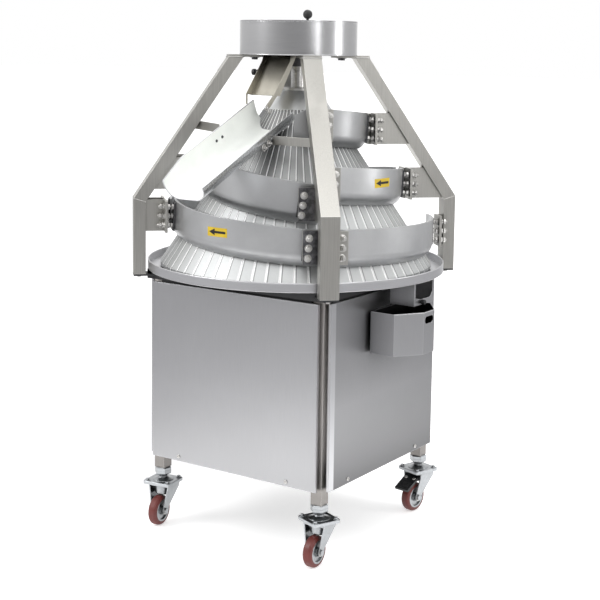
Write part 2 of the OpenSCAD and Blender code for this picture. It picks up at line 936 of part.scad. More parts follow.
// Flat bar between a wall of the chute and the inner face of a leg, cut off at both
module chute_bar(from, leg_a, top_z) {
    leg_at = leg_in - (top_z - mitre_z) * tan(leg_lean);
    to = [leg_at * cos(leg_a), leg_at * sin(leg_a)];
    turn = atan2(to.y - from.y, to.x - from.x);
    wall = from.x > 0 ? chute_w / 2 - chute_w : -chute_w / 2;
    difference() {
        translate([from.x, from.y, top_z - bar_w])
            rotate([0, 0, turn])
                translate([-bar_w, -bar_t / 2, 0])
                    cube([norm(to - from) + 2 * bar_w, bar_t, bar_w]);
        translate([wall, from.y - chute_w, top_z - 2 * bar_w])
            cube([chute_w, 2 * chute_w, 3 * bar_w]);
        rotate([0, 0, leg_a]) leg_outside();
    }
}

module chute_bars() {
    color(steel) {
        chute_bar([-chute_w / 2, -left_bar_out], leg_angles[1], slope_z + left_bar_lift);
        chute_bar([chute_w / 2, -right_bar_out], leg_angles[0], slope_z + right_bar_lift);
    }
}

// Guide track
module track_place(i) {
    rotate([0, 0, seg_mid(i)])
        translate([0, seg_shift(i), seg_mid_z(i)])
            rotate([seg_tilt(i), 0, 0])
                children();
}

// Section of the track: an upright wall whose lower edge curls in to the cone
module track_section(i) {
    reach = 2 * lip_r;
    translate([seg_r(i) - track_wall, lip_rise]) square([track_wall, seg_h(i) - lip_rise]);
    translate([seg_r(i) - lip_r, lip_rise])
        intersection() {
            difference() {
                circle(lip_r);
                circle(lip_r - track_wall);
            }
            polygon([
                [0, 0], [reach * cos(lip_angle), -reach * sin(lip_angle)],
                [reach, -reach * sin(lip_angle)], [reach, 0]
            ]);
        }
}

module track(i) {
    extra = mm_to_deg(seg_shift(i) + end_overrun, seg_r(i));
    free_end = i == top_segment;
    color(cast)
    difference() {
        track_place(i)
            rotate([0, 0, -seg_half(i) - (free_end ? 0 : extra)])
                rotate_extrude(angle = seg_sweep(i) + (free_end ? extra : 2 * extra))
                    track_section(i);
        // The ends are cut upright beside the legs' middle planes
        rotate([0, 0, end_leg(i, 1)])
            translate([0, -joint_gap / 2, 0]) cube([leg_out, leg_out, drum_z]);
        if (free_end)
            // The last segment's free end has its upper corner cut off
            track_place(i)
                rotate([0, 0, -seg_half(i)])
                    translate([0, 0, seg_h(i)])
                        rotate([90, 0, 90])
                            linear_extrude(leg_out)
                                polygon([[-end_cut_l, -2 * end_cut_h], [end_cut_l, 0],
                                    [end_cut_l, end_cut_h], [-end_cut_l, end_cut_h]]);
        else
            rotate([0, 0, end_leg(i, -1)])
                translate([0, joint_gap / 2 - leg_out, 0]) cube([leg_out, leg_out, drum_z]);
    }
}

module lower_track_1() { track(0); }
module lower_track_2() { track(1); }
module lower_track_3() { track(2); }
module lower_track_4() { track(3); }
module middle_track_1() { track(4); }
module middle_track_2() { track(5); }
module middle_track_3() { track(6); }
module middle_track_4() { track(7); }
module upper_track() { track(8); }

module joint_plates() {
    color(dark)
    for (i = [0 : top_segment], side = [1, -1]) {
        wide = mm_to_deg(joint_plate_w, seg_r(i));
        track_place(i)
            rotate([0, 0, row_angle(i, side) - wide / 2])
                rotate_extrude(angle = wide)
                    translate([seg_r(i), plate_rise]) square([joint_plate_t, joint_plate_h]);
    }
}

// Studs of one joint plate, thickened by a clearance where they pass through a bracket
module stud_row(i, side, clear) {
    for (k = [0 : studs_per_plate - 1])
        track_place(i)
            rotate([0, 0, row_angle(i, side)])
                translate([
                    seg_r(i) + joint_plate_t, 0,
                    plate_rise + joint_plate_h * (k + 0.5) / studs_per_plate
                ])
                    rotate([0, 90, 0]) {
                        cylinder(d = stud_d + 2 * clear, h = stud_out);
                        if (clear == 0)
                            translate([0, 0, bracket_gap + bracket_t + stud_nut_gap])
                                cylinder(d = stud_nut_d, h = stud_nut_h, $fn = 6);
                    }
}

module track_studs() {
    color(bright)
    for (i = [0 : top_segment], side = [1, -1]) stud_row(i, side, 0);
}

// Bracket of one segment's end: a plate across the studs and a web to the leg
module end_bracket(i, side) {
    flange_r = row_r(i, side) + joint_plate_t + bracket_gap;
    high = joint_plate_h + 2 * bracket_edge;
    low = row_z(i, side) - high / 2;
    wide = stud_offset + joint_plate_w / 2 + bracket_edge - bracket_inner;
    difference() {
        rotate([0, 0, end_leg(i, side)])
            mirror([0, (1 + side) / 2, 0]) {
                translate([flange_r, bracket_inner, low]) cube([bracket_t, wide, high]);
                translate([flange_r, web_at - bracket_t / 2, low])
                    cube([leg_out - flange_r, bracket_t, high]);
            }
        rotate([0, 0, end_leg(i, side)]) leg_outside();
        stud_row(i, side, stud_clear);
    }
}

module track_brackets() {
    color(steel)
    for (i = [0 : top_segment], side = [1, -1]) end_bracket(i, side);
}

// Drive
module main_shaft() {
    low_z = tray_z - shaft_in_box;
    high_z = drum_z + drum_wall + arm_lift + agitator_hub_h + shaft_end;
    step_z = cone_top_z - cap_plate_t;
    foot_z = slope_z + hub_drop;
    foot_r = cone_r(foot_z + hub_plate_t) - cone_wall / cos(atan(cone_slope));
    color(steel) {
        translate([0, 0, low_z]) cylinder(d = shaft_d, h = step_z - low_z);
        translate([0, 0, step_z]) cylinder(d = neck_d, h = high_z - step_z);
        // Collar below the bearing
        translate([0, 0, drum_z - bearing_h - rest_gap - collar_ring_h])
            cylinder(d = collar_ring_d, h = collar_ring_h);
        // Welded spider that carries the cone's foot
        translate([0, 0, foot_z]) cylinder(d = hub_sleeve_d, h = hub_sleeve_h);
        for (k = [0 : web_count - 1])
            rotate([0, 0, k * 360 / web_count])
                translate([0, -web_t / 2, foot_z]) cube([foot_r - rest_gap, web_t, hub_plate_t]);
    }
}

module upper_bearing() {
    color(dark)
    difference() {
        union() {
            translate([0, 0, drum_z - bearing_h]) cylinder(d = bearing_body_d, h = bearing_h);
            translate([0, 0, drum_z - bearing_flange_t]) cylinder(d = bearing_d, h = bearing_flange_t);
        }
        translate([0, 0, drum_z - bearing_h - over])
            cylinder(d = neck_d + 2 * run_gap, h = bearing_h + 2 * over);
    }
}

module gearbox() {
    flange_w = 2 * beam_at + post_w;
    color(cast)
    difference() {
        union() {
            // The flange lies on the frame's two beams
            translate([-flange_w / 2, -gearbox_flange_l / 2, post_top])
                cube([flange_w, gearbox_flange_l, gearbox_flange_t]);
            translate([0, 0, post_top]) cylinder(d = gearbox_neck_d, h = deck_h + tray_sheet);
            translate([-gearbox_w / 2, -gearbox_l / 2, post_top - gearbox_h])
                cube([gearbox_w, gearbox_l, gearbox_h]);
        }
        translate([0, 0, tray_z - shaft_in_box - over])
            cylinder(d = shaft_d + 2 * run_gap, h = shaft_in_box + deck_h + over);
    }
}

module motor() {
    color(dark)
    translate([0, gearbox_l / 2, post_top - motor_drop])
        rotate([-90, 0, 0]) {
            cylinder(d = motor_d, h = motor_l);
            translate([0, 0, motor_l]) cylinder(d = motor_cowl_d, h = motor_cowl_l);
            // Cooling fins, and the terminal box on the side
            for (k = [0 : fin_count - 1])
                rotate([0, 0, k * 360 / fin_count])
                    translate([motor_d / 2 - fin_h, -fin_w / 2, fin_end])
                        cube([2 * fin_h, fin_w, motor_l - 2 * fin_end]);
            translate([motor_d / 2 - fin_h, -terminal_w / 2, terminal_at])
                cube([terminal_h, terminal_w, terminal_w]);
        }
}

// Ribbed cone, a shell whose grooves shrink towards its top
module rib_outline() {
    pitch = 360 / rib_count;
    half_groove = mm_to_deg(groove_w / 2, cone_d / 2);
    outer = cone_d / 2;
    polygon([
        for (k = [0 : rib_count - 1], p = [[0, 1], [half_groove, 0], [pitch - half_groove, 0]])
            let (r = outer - p[1] * groove_depth)
            [r * cos(k * pitch + p[0]), r * sin(k * pitch + p[0])]
    ]);
}

module cone() {
    inside = cone_wall / cos(atan(cone_slope));
    color(bright)
    difference() {
        union() {
            translate([0, 0, cone_z]) linear_extrude(skirt_h) rib_outline();
            translate([0, 0, slope_z])
                linear_extrude(ribbed_h, scale = ribbed_top_r / (cone_d / 2)) rib_outline();
        }
        translate([0, 0, slope_z])
            cylinder(r1 = cone_d / 2 - inside, r2 = ribbed_top_r - inside, h = ribbed_h);
        translate([0, 0, cone_z - over]) cylinder(r = cone_d / 2 - inside, h = skirt_h + over);
        translate([0, 0, slope_z + ribbed_h - over]) cylinder(r = ribbed_top_r - inside, h = 2 * over);
    }
}

// Smooth cap with a raised edge around its flat top
module cone_cap() {
    inside = cone_wall / cos(atan(cone_slope));
    cap_z = slope_z + ribbed_h;
    cap_h = cone_h - ribbed_h;
    color(bright)
    difference() {
        translate([0, 0, cap_z]) cylinder(r1 = ribbed_top_r, r2 = cone_top_d / 2, h = cap_h);
        translate([0, 0, cap_z])
            cylinder(r1 = ribbed_top_r - inside, r2 = cone_top_d / 2 - inside + cap_plate_t * cone_slope,
                h = cap_h - cap_plate_t - cap_lip);
        translate([0, 0, cone_top_z - cap_lip]) cylinder(d = cone_top_d - 2 * cap_lip, h = cap_lip + over);
        translate([0, 0, cap_z - over]) cylinder(r = ribbed_top_r - inside, h = 2 * over);
        translate([0, 0, cap_z]) cylinder(d = neck_d + 2 * run_gap, h = cap_h);
    }
}

// Casters: the swivel's local frame has the axle along x and the wheel behind it on +y
module caster_place(k) {
    translate([corners[k].x * post_at, corners[k].y * post_at, 0])
        rotate([0, 0, heading_angles[k]])
            children();
}

module caster_stem(k) {
    plate_z = caster_h - plate_t;
    rotate([0, 0, plate_angles[k]])
        translate([-plate_w / 2, -plate_w / 2, plate_z]) cube([plate_w, plate_w, plate_t]);
    translate([0, 0, caster_h]) cylinder(d1 = dome_d, d2 = stem_d, h = dome_h);
    translate([0, 0, caster_h]) cylinder(d = stem_d, h = stem_show + nut_h + stem_in_post);
    translate([0, 0, caster_h + stem_show]) cylinder(d = nut_flats / cos(30), h = nut_h, $fn = 6);
    // King pin with its head under the fork's crown
    translate([0, 0, crown_z - swivel_gap])
        cylinder(d = king_d, h = crown_t + 2 * swivel_gap + plate_t / 2);
    translate([0, 0, crown_z - swivel_gap - king_head_h]) cylinder(d = king_head_d, h = king_head_h);
}

module caster_stems() {
    color(steel)
    for (k = [0 : len(corners) - 1])
        translate([corners[k].x * post_at, corners[k].y * post_at, 0]) caster_stem(k);
}

// One cheek of a fork in its own plane: wide at the crown, narrow at the axle
module fork_cheek() {
    polygon([
        [-crown_lead, caster_h], [-crown_lead, crown_z - crown_t],
        [trail - boss_d / 2, axle_z], [trail + boss_d / 2, axle_z],
        [crown_trail, crown_z - crown_t], [crown_trail, caster_h]
    ]);
    translate([trail, axle_z]) circle(d = boss_d);
}

module fork(k, braked) {
    crown_half = cheek_in(crown_z) + fork_t / 2;
    pin_half = cheek_in(pedal_pin_z) + fork_t / 2;
    color(bright)
    caster_place(k)
        difference() {
            union() {
                // The cheeks lean out from the axle to the crown
                for (side = [-1, 1])
                    translate([side * fork_in, 0, axle_z])
                        rotate([0, side * fork_lean, 0])
                            translate([(side - 1) / 2 * fork_t, 0, -axle_z])
                                rotate([90, 0, 90])
                                    linear_extrude(fork_t) fork_cheek();
                translate([-crown_half, crown_step - crown_lead, crown_z])
                    cube([2 * crown_half, crown_lead + crown_trail - 2 * crown_step, crown_t + over]);
                translate([-fork_out - axle_nut_h, trail, axle_z])
                    rotate([0, 90, 0])
                        cylinder(d = axle_d, h = 2 * (fork_out + axle_nut_h));
                for (x = [-fork_out - axle_nut_h, fork_out])
                    translate([x, trail, axle_z])
                        rotate([0, 90, 0])
                            cylinder(d = axle_nut_d, h = axle_nut_h, $fn = 6);
                if (braked)
                    translate([-pin_half, pedal_pin_y, pedal_pin_z])
                        rotate([0, 90, 0])
                            cylinder(d = pedal_pin_d, h = 2 * pin_half);
            }
            // The cheeks and the crown end in one flat top
            translate([-plate_w, -plate_w, crown_top]) cube([2 * plate_w, 2 * plate_w, plate_w]);
            translate([0, 0, crown_z - over])
                cylinder(d = king_d + 2 * run_gap, h = crown_t + 2 * over);
        }
}

module front_fork() { fork(0, false); }
module left_fork() { fork(1, false); }
module right_fork() { fork(2, true); }
module rear_fork() { fork(3, true); }

module wheel_place(k) {
    caster_place(k)
        translate([0, trail, axle_z])
            rotate([0, 90, 0])
                children();
}

// Hub with recessed faces and a boss around the axle
module wheel_hub(k) {
    hub_d = wheel_d - 2 * tread;
    color(bright)
    wheel_place(k)
        difference() {
            cylinder(d = hub_d, h = wheel_w, center = true);
            for (side = [-1, 1])
                translate([0, 0, side * wheel_w / 2])
                    difference() {
                        cylinder(d = hub_d - 2 * hub_rim, h = 2 * hub_recess, center = true);
                        cylinder(d = hub_boss_d, h = 4 * hub_recess, center = true);
                    }
            cylinder(d = axle_d + 2 * run_gap, h = 2 * wheel_w, center = true);
        }
}

// Tyre with rounded shoulders
module wheel_tyre(k) {
    hub_r = wheel_d / 2 - tread + run_gap;
    color(red)
    wheel_place(k)
        rotate_extrude() {
            translate([hub_r, -wheel_w / 2]) square([tread - run_gap - tyre_round, wheel_w]);
            translate([hub_r, -wheel_w / 2 + tyre_round])
                square([tread - run_gap, wheel_w - 2 * tyre_round]);
            for (side = [-1, 1])
                translate([wheel_d / 2 - tyre_round, side * (wheel_w / 2 - tyre_round)]) circle(tyre_round);
        }
}

module front_hub() { wheel_hub(0); }
module left_hub() { wheel_hub(1); }
module right_hub() { wheel_hub(2); }
module rear_hub() { wheel_hub(3); }
module front_tyre() { wheel_tyre(0); }
module left_tyre() { wheel_tyre(1); }
module right_tyre() { wheel_tyre(2); }
module rear_tyre() { wheel_tyre(3); }

// Brake pedal: a sloping plate on an eye that turns on the fork's pin
module brake_pedal(k) {
    color(dark)
    caster_place(k)
        translate([0, pedal_pin_y, pedal_pin_z])
            rotate([-pedal_slope, 0, 0])
                difference() {
                    union() {
                        translate([-pedal_w / 2, 0, 0])
                            rotate([0, 90, 0])
                                cylinder(d = pedal_eye_d, h = pedal_w);
                        translate([-pedal_w / 2, 0, pedal_eye_d / 2 - pedal_t])
                            cube([pedal_w, pedal_l, pedal_t]);
                    }
                    translate([-pedal_w, 0, 0])
                        rotate([0, 90, 0])
                            cylinder(d = pedal_pin_d + 2 * run_gap, h = 2 * pedal_w);
                }
}

module right_brake_pedal() { brake_pedal(2); }
module rear_brake_pedal() { brake_pedal(3); }

// Switch box on the left panel
module switch_box() {
    z = panel_z + panel_h - switch_drop - switch_h;
    color(dark)
    difference() {
        union() {
            translate([-half_w - switch_d, -switch_w / 2, z]) cube([switch_d, switch_w, switch_h]);
            for (side = [-1, 1])
                translate([-half_w - switch_d - collar_h, 0, z + switch_h / 2 + side * button_pitch / 2])
                    rotate([0, 90, 0])
                        cylinder(d = collar_d, h = collar_h);
        }
        translate([-half_w - switch_d + switch_wall, -switch_w / 2 + switch_wall, z + switch_wall])
            cube([switch_d, switch_w - 2 * switch_wall, switch_h - 2 * switch_wall]);
        for (side = [-1, 1])
            translate([-half_w - switch_d - collar_h - over, 0, z + switch_h / 2 + side * button_pitch / 2])
                rotate([0, 90, 0])
                    cylinder(d = button_d + 2 * run_gap, h = collar_h + switch_wall + 2 * over);
    }
}

module push_button(side, tint) {
    z = panel_z + panel_h - switch_drop - switch_h / 2 + side * button_pitch / 2;
    front = button_out + collar_h + switch_wall + rest_gap;
    color(tint)
    translate([-half_w - switch_d - collar_h - button_out, 0, z])
        rotate([0, 90, 0]) {
            cylinder(d = button_d, h = front + button_flange_h);
            // The flange inside the box keeps the button from falling out
            translate([0, 0, front]) cylinder(d = button_flange_d, h = button_flange_h);
        }
}

module start_button() { push_button(1, [0.1, 0.5, 0.2]); }
module stop_button() { push_button(-1, red); }

corner_posts();
frame_rails();
front_panel();
right_panel();
rear_panel();
left_panel();
frame_screws();
deck();
tray();
flour_spout();
bin_hook();
catch_bin();
front_leg();
left_leg();
right_leg();
rear_leg();
drum_shell();
lid_fixed();
lid_flap();
lid_knob();
agitator();
flour_hood();
chute();
chute_bars();
lower_track_1();
lower_track_2();
lower_track_3();
lower_track_4();
middle_track_1();
middle_track_2();
middle_track_3();
middle_track_4();
upper_track();
track_brackets();
track_studs();
joint_plates();
main_shaft();
upper_bearing();
gearbox();
motor();
cone();
cone_cap();
caster_stems();
front_fork();
left_fork();
right_fork();
rear_fork();
front_hub();
left_hub();
right_hub();
rear_hub();
front_tyre();
left_tyre();
right_tyre();
rear_tyre();
right_brake_pedal();
rear_brake_pedal();
switch_box();
start_button();
stop_button();
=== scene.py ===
"""Looks of a conical dough rounder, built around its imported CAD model."""

import math

import bmesh
import bpy
import numpy as np
from bpy.props import FloatProperty, FloatVectorProperty, IntProperty, PointerProperty
from mathutils import Matrix, Vector
from mathutils.bvhtree import BVHTree


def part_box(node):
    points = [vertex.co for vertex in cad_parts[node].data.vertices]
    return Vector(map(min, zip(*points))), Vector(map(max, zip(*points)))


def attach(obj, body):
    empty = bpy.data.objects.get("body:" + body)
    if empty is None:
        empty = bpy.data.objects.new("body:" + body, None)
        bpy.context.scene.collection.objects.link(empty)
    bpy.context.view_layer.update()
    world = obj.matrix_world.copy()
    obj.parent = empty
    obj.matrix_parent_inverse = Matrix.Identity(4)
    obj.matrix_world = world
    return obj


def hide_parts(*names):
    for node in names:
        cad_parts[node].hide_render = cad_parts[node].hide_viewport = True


bl_info = {
    "name": "Dough rounder",
    "version": (1, 0, 0),
    "blender": (4, 5, 0),
    "location": "View3D > Sidebar > Rounder",
    "description": "Builds the finishes, fittings and stage of a conical dough rounder",
    "category": "Object",
}

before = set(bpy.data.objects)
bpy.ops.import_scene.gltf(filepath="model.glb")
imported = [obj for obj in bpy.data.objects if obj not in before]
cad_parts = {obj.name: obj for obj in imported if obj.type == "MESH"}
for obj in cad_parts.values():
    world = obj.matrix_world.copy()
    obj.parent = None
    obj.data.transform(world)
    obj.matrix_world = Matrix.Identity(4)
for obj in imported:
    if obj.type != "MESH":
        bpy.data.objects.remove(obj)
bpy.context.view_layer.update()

# Places that several pieces share, read from the frame
TRAY_LOW, TRAY_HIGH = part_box("tray")
CONE_LOW, CONE_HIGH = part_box("cone")
CAP_LOW, CAP_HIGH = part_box("cone_cap")
DRUM_LOW, DRUM_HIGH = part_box("drum_shell")
CONE_R = max(CONE_HIGH.x, CONE_HIGH.y)
CORNERS = ("front", "left", "right", "rear")

# Materials and shader groups by name, filled by the operator of the finishes
FINISH = {}
GROUPS = {}

# Stretch of the brushed lines on upright sheet, on turned or level sheet, and on tubes
UPRIGHT = (1400, 1400, 14)
LEVEL = (14, 14, 1400)
STREAKS = (600, 600, 9)

# Heights between which the painted shade low on the cabinet fades out
LOW_SHADE_FOOT, LOW_SHADE_TOP = 0.22, 0.5

# Grain of the printed stickers, finer than that of moulded plastic
PRINT_GRAIN = 1500.0

# Vector operations whose result is a number
MEASURES = ("DOT_PRODUCT", "LENGTH", "DISTANCE")


def sizes():
    return bpy.context.scene.rounder_sizes


def colours():
    return bpy.context.scene.rounder_colours


def colour(name, **options):
    """A colour property, in linear values."""
    return FloatVectorProperty(name=name, subtype="COLOR", size=3, min=0, max=1, **options)


def length(name, **options):
    return FloatProperty(name=name, unit="LENGTH", min=0, precision=5, **options)


class RounderSizes(bpy.types.PropertyGroup):
    """Sizes of the fittings that the CAD model leaves to the looks"""

    rib_count: IntProperty(name="Ribs", description="Ribs around the cone", default=64, min=24, max=96)
    groove_w: length("Groove width", description="Width of a groove between two ribs", default=0.0052)
    groove_d: length("Groove depth", description="Depth of a groove between two ribs", default=0.0028)
    screw_r: length("Panel screw", description="Radius of a panel screw's head", default=0.0068)
    nut_flats: length("Stud nut", description="Width across the flats of a stud's nut", default=0.0165)
    thread_pitch: length("Thread pitch", description="Pitch of the adjusting studs", default=0.002)
    stem_pitch: length("Stem pitch", description="Pitch of the casters' stems", default=0.0035)
    weld_r: length("Weld", description="Radius of a weld bead", default=0.0022)
    sticker_w: length("Sticker width", description="Width of an arrow sticker", default=0.080)
    sticker_h: length("Sticker height", description="Height of an arrow sticker", default=0.029)


class RounderColours(bpy.types.PropertyGroup):
    """Colours of the finishes"""

    panel: colour("Panel steel", description="Brushed sheet of the cabinet", default=(0.52, 0.52, 0.532))
    tube: colour("Tube steel", description="Brushed tubes of the legs", default=(0.50, 0.49, 0.46))
    post: colour("Post steel", description="Brushed tubes of the corner posts", default=(0.80, 0.755, 0.72))
    hood: colour("Hood steel", description="Brushed sheet of the flour hood", default=(0.50, 0.475, 0.41))
    sheet: colour("Bright sheet", description="Polished sheet of the chute", default=(0.80, 0.81, 0.82))
    coat: colour("Chute coat", description="White lining of the chute", default=(0.90, 0.92, 0.89))
    drum: colour("Drum steel", description="Brushed sheet of the flour drum", default=(0.57, 0.57, 0.578))
    casting: colour("Casting", description="Satin cast aluminium of the track", default=(0.60, 0.605, 0.61))
    cone: colour("Cone", description="Machined aluminium of the cone", default=(0.60, 0.61, 0.61))
    zinc: colour("Zinc", description="Plating of the casters", default=(0.43, 0.445, 0.46))
    bolt: colour("Bolts", description="Bright bolts and nuts", default=(0.62, 0.61, 0.59))
    plate: colour("Dark plate", description="Dark plates behind the nuts", default=(0.10, 0.10, 0.105))
    tyre: colour("Tyre", description="Red-brown polyurethane", default=(0.17, 0.036, 0.031))
    black: colour("Black plastic", description="Knob, pedals and switch box", default=(0.018, 0.018, 0.019))
    green: colour("Start button", description="Green moulded plastic", default=(0.03, 0.30, 0.08))
    red: colour("Stop button", description="Red moulded plastic", default=(0.45, 0.025, 0.02))
    yellow: colour("Sticker", description="Yellow of the arrow stickers", default=(0.87, 0.60, 0.03))
    ink: colour("Arrow", description="Black print on the stickers", default=(0.012, 0.012, 0.012))
    # The floor's painted pool of light, and its grey outside the pool
    backdrop: colour("Backdrop", description="Lit floor of the studio", default=(0.93, 0.93, 0.93))
    room: colour("Room", description="Floor outside the light", default=(0.45, 0.45, 0.46))


# Mesh helpers


def facing(origin, normal, up=(0, 0, 1)):
    """Matrix whose z axis points along normal and whose y axis is as near to up as it can be."""
    z = Vector(normal).normalized()
    y = Vector(up) - z * z.dot(Vector(up))
    if y.length < 1e-6:
        y = Vector((0, 1, 0)) - z * z.y
    y.normalize()
    x = y.cross(z)
    return Matrix.Translation(Vector(origin)) @ Matrix((x, y, z)).transposed().to_4x4()


def polar(radius, angle, z=0.0):
    """Point at a radius and an angle around z."""
    return Vector((radius * math.cos(angle), radius * math.sin(angle), z))


def turned(bm, profile, place=None, segments=48):
    """Adds the surface that a profile of (radius, height) points sweeps around z."""
    place = place or Matrix.Identity(4)
    rings = []
    for radius, height in profile:
        if radius < 1e-7:
            rings.append([bm.verts.new(place @ Vector((0, 0, height)))])
            continue
        angles = [2 * math.pi * k / segments for k in range(segments)]
        rings.append([bm.verts.new(place @ polar(radius, angle, height)) for angle in angles])
    for low, high in zip(rings, rings[1:]):
        for k in range(segments):
            nxt = (k + 1) % segments
            corners = [low[k % len(low)], low[nxt % len(low)], high[nxt % len(high)], high[k % len(high)]]
            corners = list(dict.fromkeys(corners))
            if len(corners) > 2:
                bm.faces.new(corners)


def prism(bm, outline, low, high, place, inset):
    """Adds a closed prism over an outline, its upper edge drawn in by a chamfer of the inset's size."""
    count = len(outline)
    middle = Vector((sum(p[0] for p in outline) / count, sum(p[1] for p in outline) / count))
    rings = []
    for height, drawn in ((low, 0.0), (high - inset, 0.0), (high, inset)):
        ring = []
        for x, y in outline:
            arm = Vector((x, y)) - middle
            point = middle + arm * max(0.0, 1 - drawn / max(arm.length, 1e-9))
            ring.append(bm.verts.new(place @ Vector((point.x, point.y, height))))
        rings.append(ring)
    for lower, upper in zip(rings, rings[1:]):
        for k in range(count):
            nxt = (k + 1) % count
            bm.faces.new((lower[k], lower[nxt], upper[nxt], upper[k]))
    bm.faces.new(list(reversed(rings[0])))
    bm.faces.new(rings[-1])


def ngon(radius, count, turn):
    """Outline of a regular polygon around the origin."""
    angles = [turn + 2 * math.pi * k / count for k in range(count)]
    return [(radius * math.cos(angle), radius * math.sin(angle)) for angle in angles]


def nut(bm, place, flats, height, turn=0.0):
    """A hexagon nut or head with chamfered corners, standing on z = 0 of its place."""
    corner = flats / math.sqrt(3)
    prism(bm, ngon(corner, 6, turn), 0.0, height, place, inset=corner * 0.1)


def washer(bm, place, radius, height):
    """A flat washer with an eased upper edge, standing on z = 0 of its place."""
    profile = [(0, 0), (radius, 0), (radius, height * 0.7), (radius * 0.93, height), (0, height)]
    turned(bm, profile, place, 24)


def hex_bolt(bm, place, flats, height, turn=0.0):
    """A hexagon head on its washer: a quarter of the height is the washer's."""
    washer_h = height * 0.25
    washer(bm, place, flats * 0.95, washer_h)
    nut(bm, place @ Matrix.Translation((0, 0, washer_h)), flats, height * 0.75, turn)


def round_screw(bm, place, radius, height):
    """A round head with a sunk socket."""
    profile = [
        (0, height * 0.45), (radius * 0.4, height * 0.45), (radius * 0.45, height),
        (radius * 0.72, height * 0.97), (radius * 0.92, height * 0.7), (radius, height * 0.3),
        (radius, 0), (0, 0),
    ]
    turned(bm, profile, place, 20)


def thread(low, high, radius, pitch):
    """Profile of a threaded stretch: a saw line between the crest and the root."""
    points = []
    count = max(1, round((high - low) / pitch))
    step = (high - low) / count
    root = radius - pitch * 0.45
    for k in range(count):
        points.append((root, low + k * step))
        points.append((radius, low + (k + 0.5) * step))
    points.append((root, high))
    return points


def rounded_corners(w, h, radius, steps=4):
    """Outline of a rectangle around the origin with round corners."""
    points = []
    for cx, cy, start in ((1, 1, 0), (-1, 1, 90), (-1, -1, 180), (1, -1, 270)):
        for k in range(steps + 1):
            angle = math.radians(start + 90 * k / steps)
            points.append((cx * (w / 2 - radius) + radius * math.cos(angle),
                           cy * (h / 2 - radius) + radius * math.sin(angle)))
    return points


def rod(bm, points, radius, segments=8, swell=0.0, beat=0.004):
    """Adds a tube along points. With a swell its radius rises and falls, as along a weld bead."""
    points = [Vector(p) for p in points]
    angles = [2 * math.pi * j / segments for j in range(segments)]
    rings = []
    walked = 0.0
    for k, point in enumerate(points):
        ahead = points[min(k + 1, len(points) - 1)] - points[max(k - 1, 0)]
        # No run of a rod is parallel to this up vector
        place = facing(point, ahead, (0.13, 0.21, 0.97))
        if k:
            walked += (point - points[k - 1]).length
        r = radius * (1 + swell * math.sin(2 * math.pi * walked / beat))
        rings.append([bm.verts.new(place @ polar(r, angle)) for angle in angles])
    for low, high in zip(rings, rings[1:]):
        for j in range(segments):
            nxt = (j + 1) % segments
            bm.faces.new((low[j], low[nxt], high[nxt], high[j]))
    bm.faces.new(list(reversed(rings[0])))
    bm.faces.new(rings[-1])


def between(a, b, step):
    """Points from a to b, a step apart."""
    a, b = Vector(a), Vector(b)
    count = max(2, round((b - a).length / step))
    return [a.lerp(b, k / count) for k in range(count + 1)]


def weld(bm, a, b):
    """A weld bead from a to b, rippled as it was laid."""
    rod(bm, between(a, b, 0.0012), sizes().weld_r, 6, swell=0.22)


def islands(node):
    """Vertices of each separate solid in a CAD node, as arrays of points."""
    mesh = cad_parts[node].data
    points = np.array([v.co for v in mesh.vertices])
    _, shared = np.unique(np.round(points, 6), axis=0, return_inverse=True)
    shared = shared.reshape(-1)
    root = list(range(shared.max() + 1))

    def find(k):
        while root[k] != k:
            root[k] = root[root[k]]
            k = root[k]
        return k

    for edge in mesh.edges:
        a, b = find(shared[edge.vertices[0]]), find(shared[edge.vertices[1]])
        root[a] = b
    groups = {}
    for k, point in enumerate(points):
        groups.setdefault(find(shared[k]), []).append(point)
    return [np.array(group) for group in groups.values()]


def surface(node):
    """Search tree over a CAD node's faces."""
    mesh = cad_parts[node].data
    return BVHTree.FromPolygons([v.co for v in mesh.vertices], [p.vertices for p in mesh.polygons])


def piece(name, bm, finish, body, smooth=32):
    """Turns a bmesh into a named piece that rides on a CAD body. Edges sharper than smooth stay sharp."""
    bmesh.ops.recalc_face_normals(bm, faces=bm.faces)
    mesh = bpy.data.meshes.new(name)
    bm.to_mesh(mesh)
    bm.free()
    mesh.shade_smooth()
    mesh.set_sharp_from_angle(angle=math.radians(smooth))
    made = bpy.data.objects.new(name, mesh)
    bpy.context.scene.collection.objects.link(made)
    mesh.materials.append(FINISH[finish])
    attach(made, body)
    return made


# Shader nodes


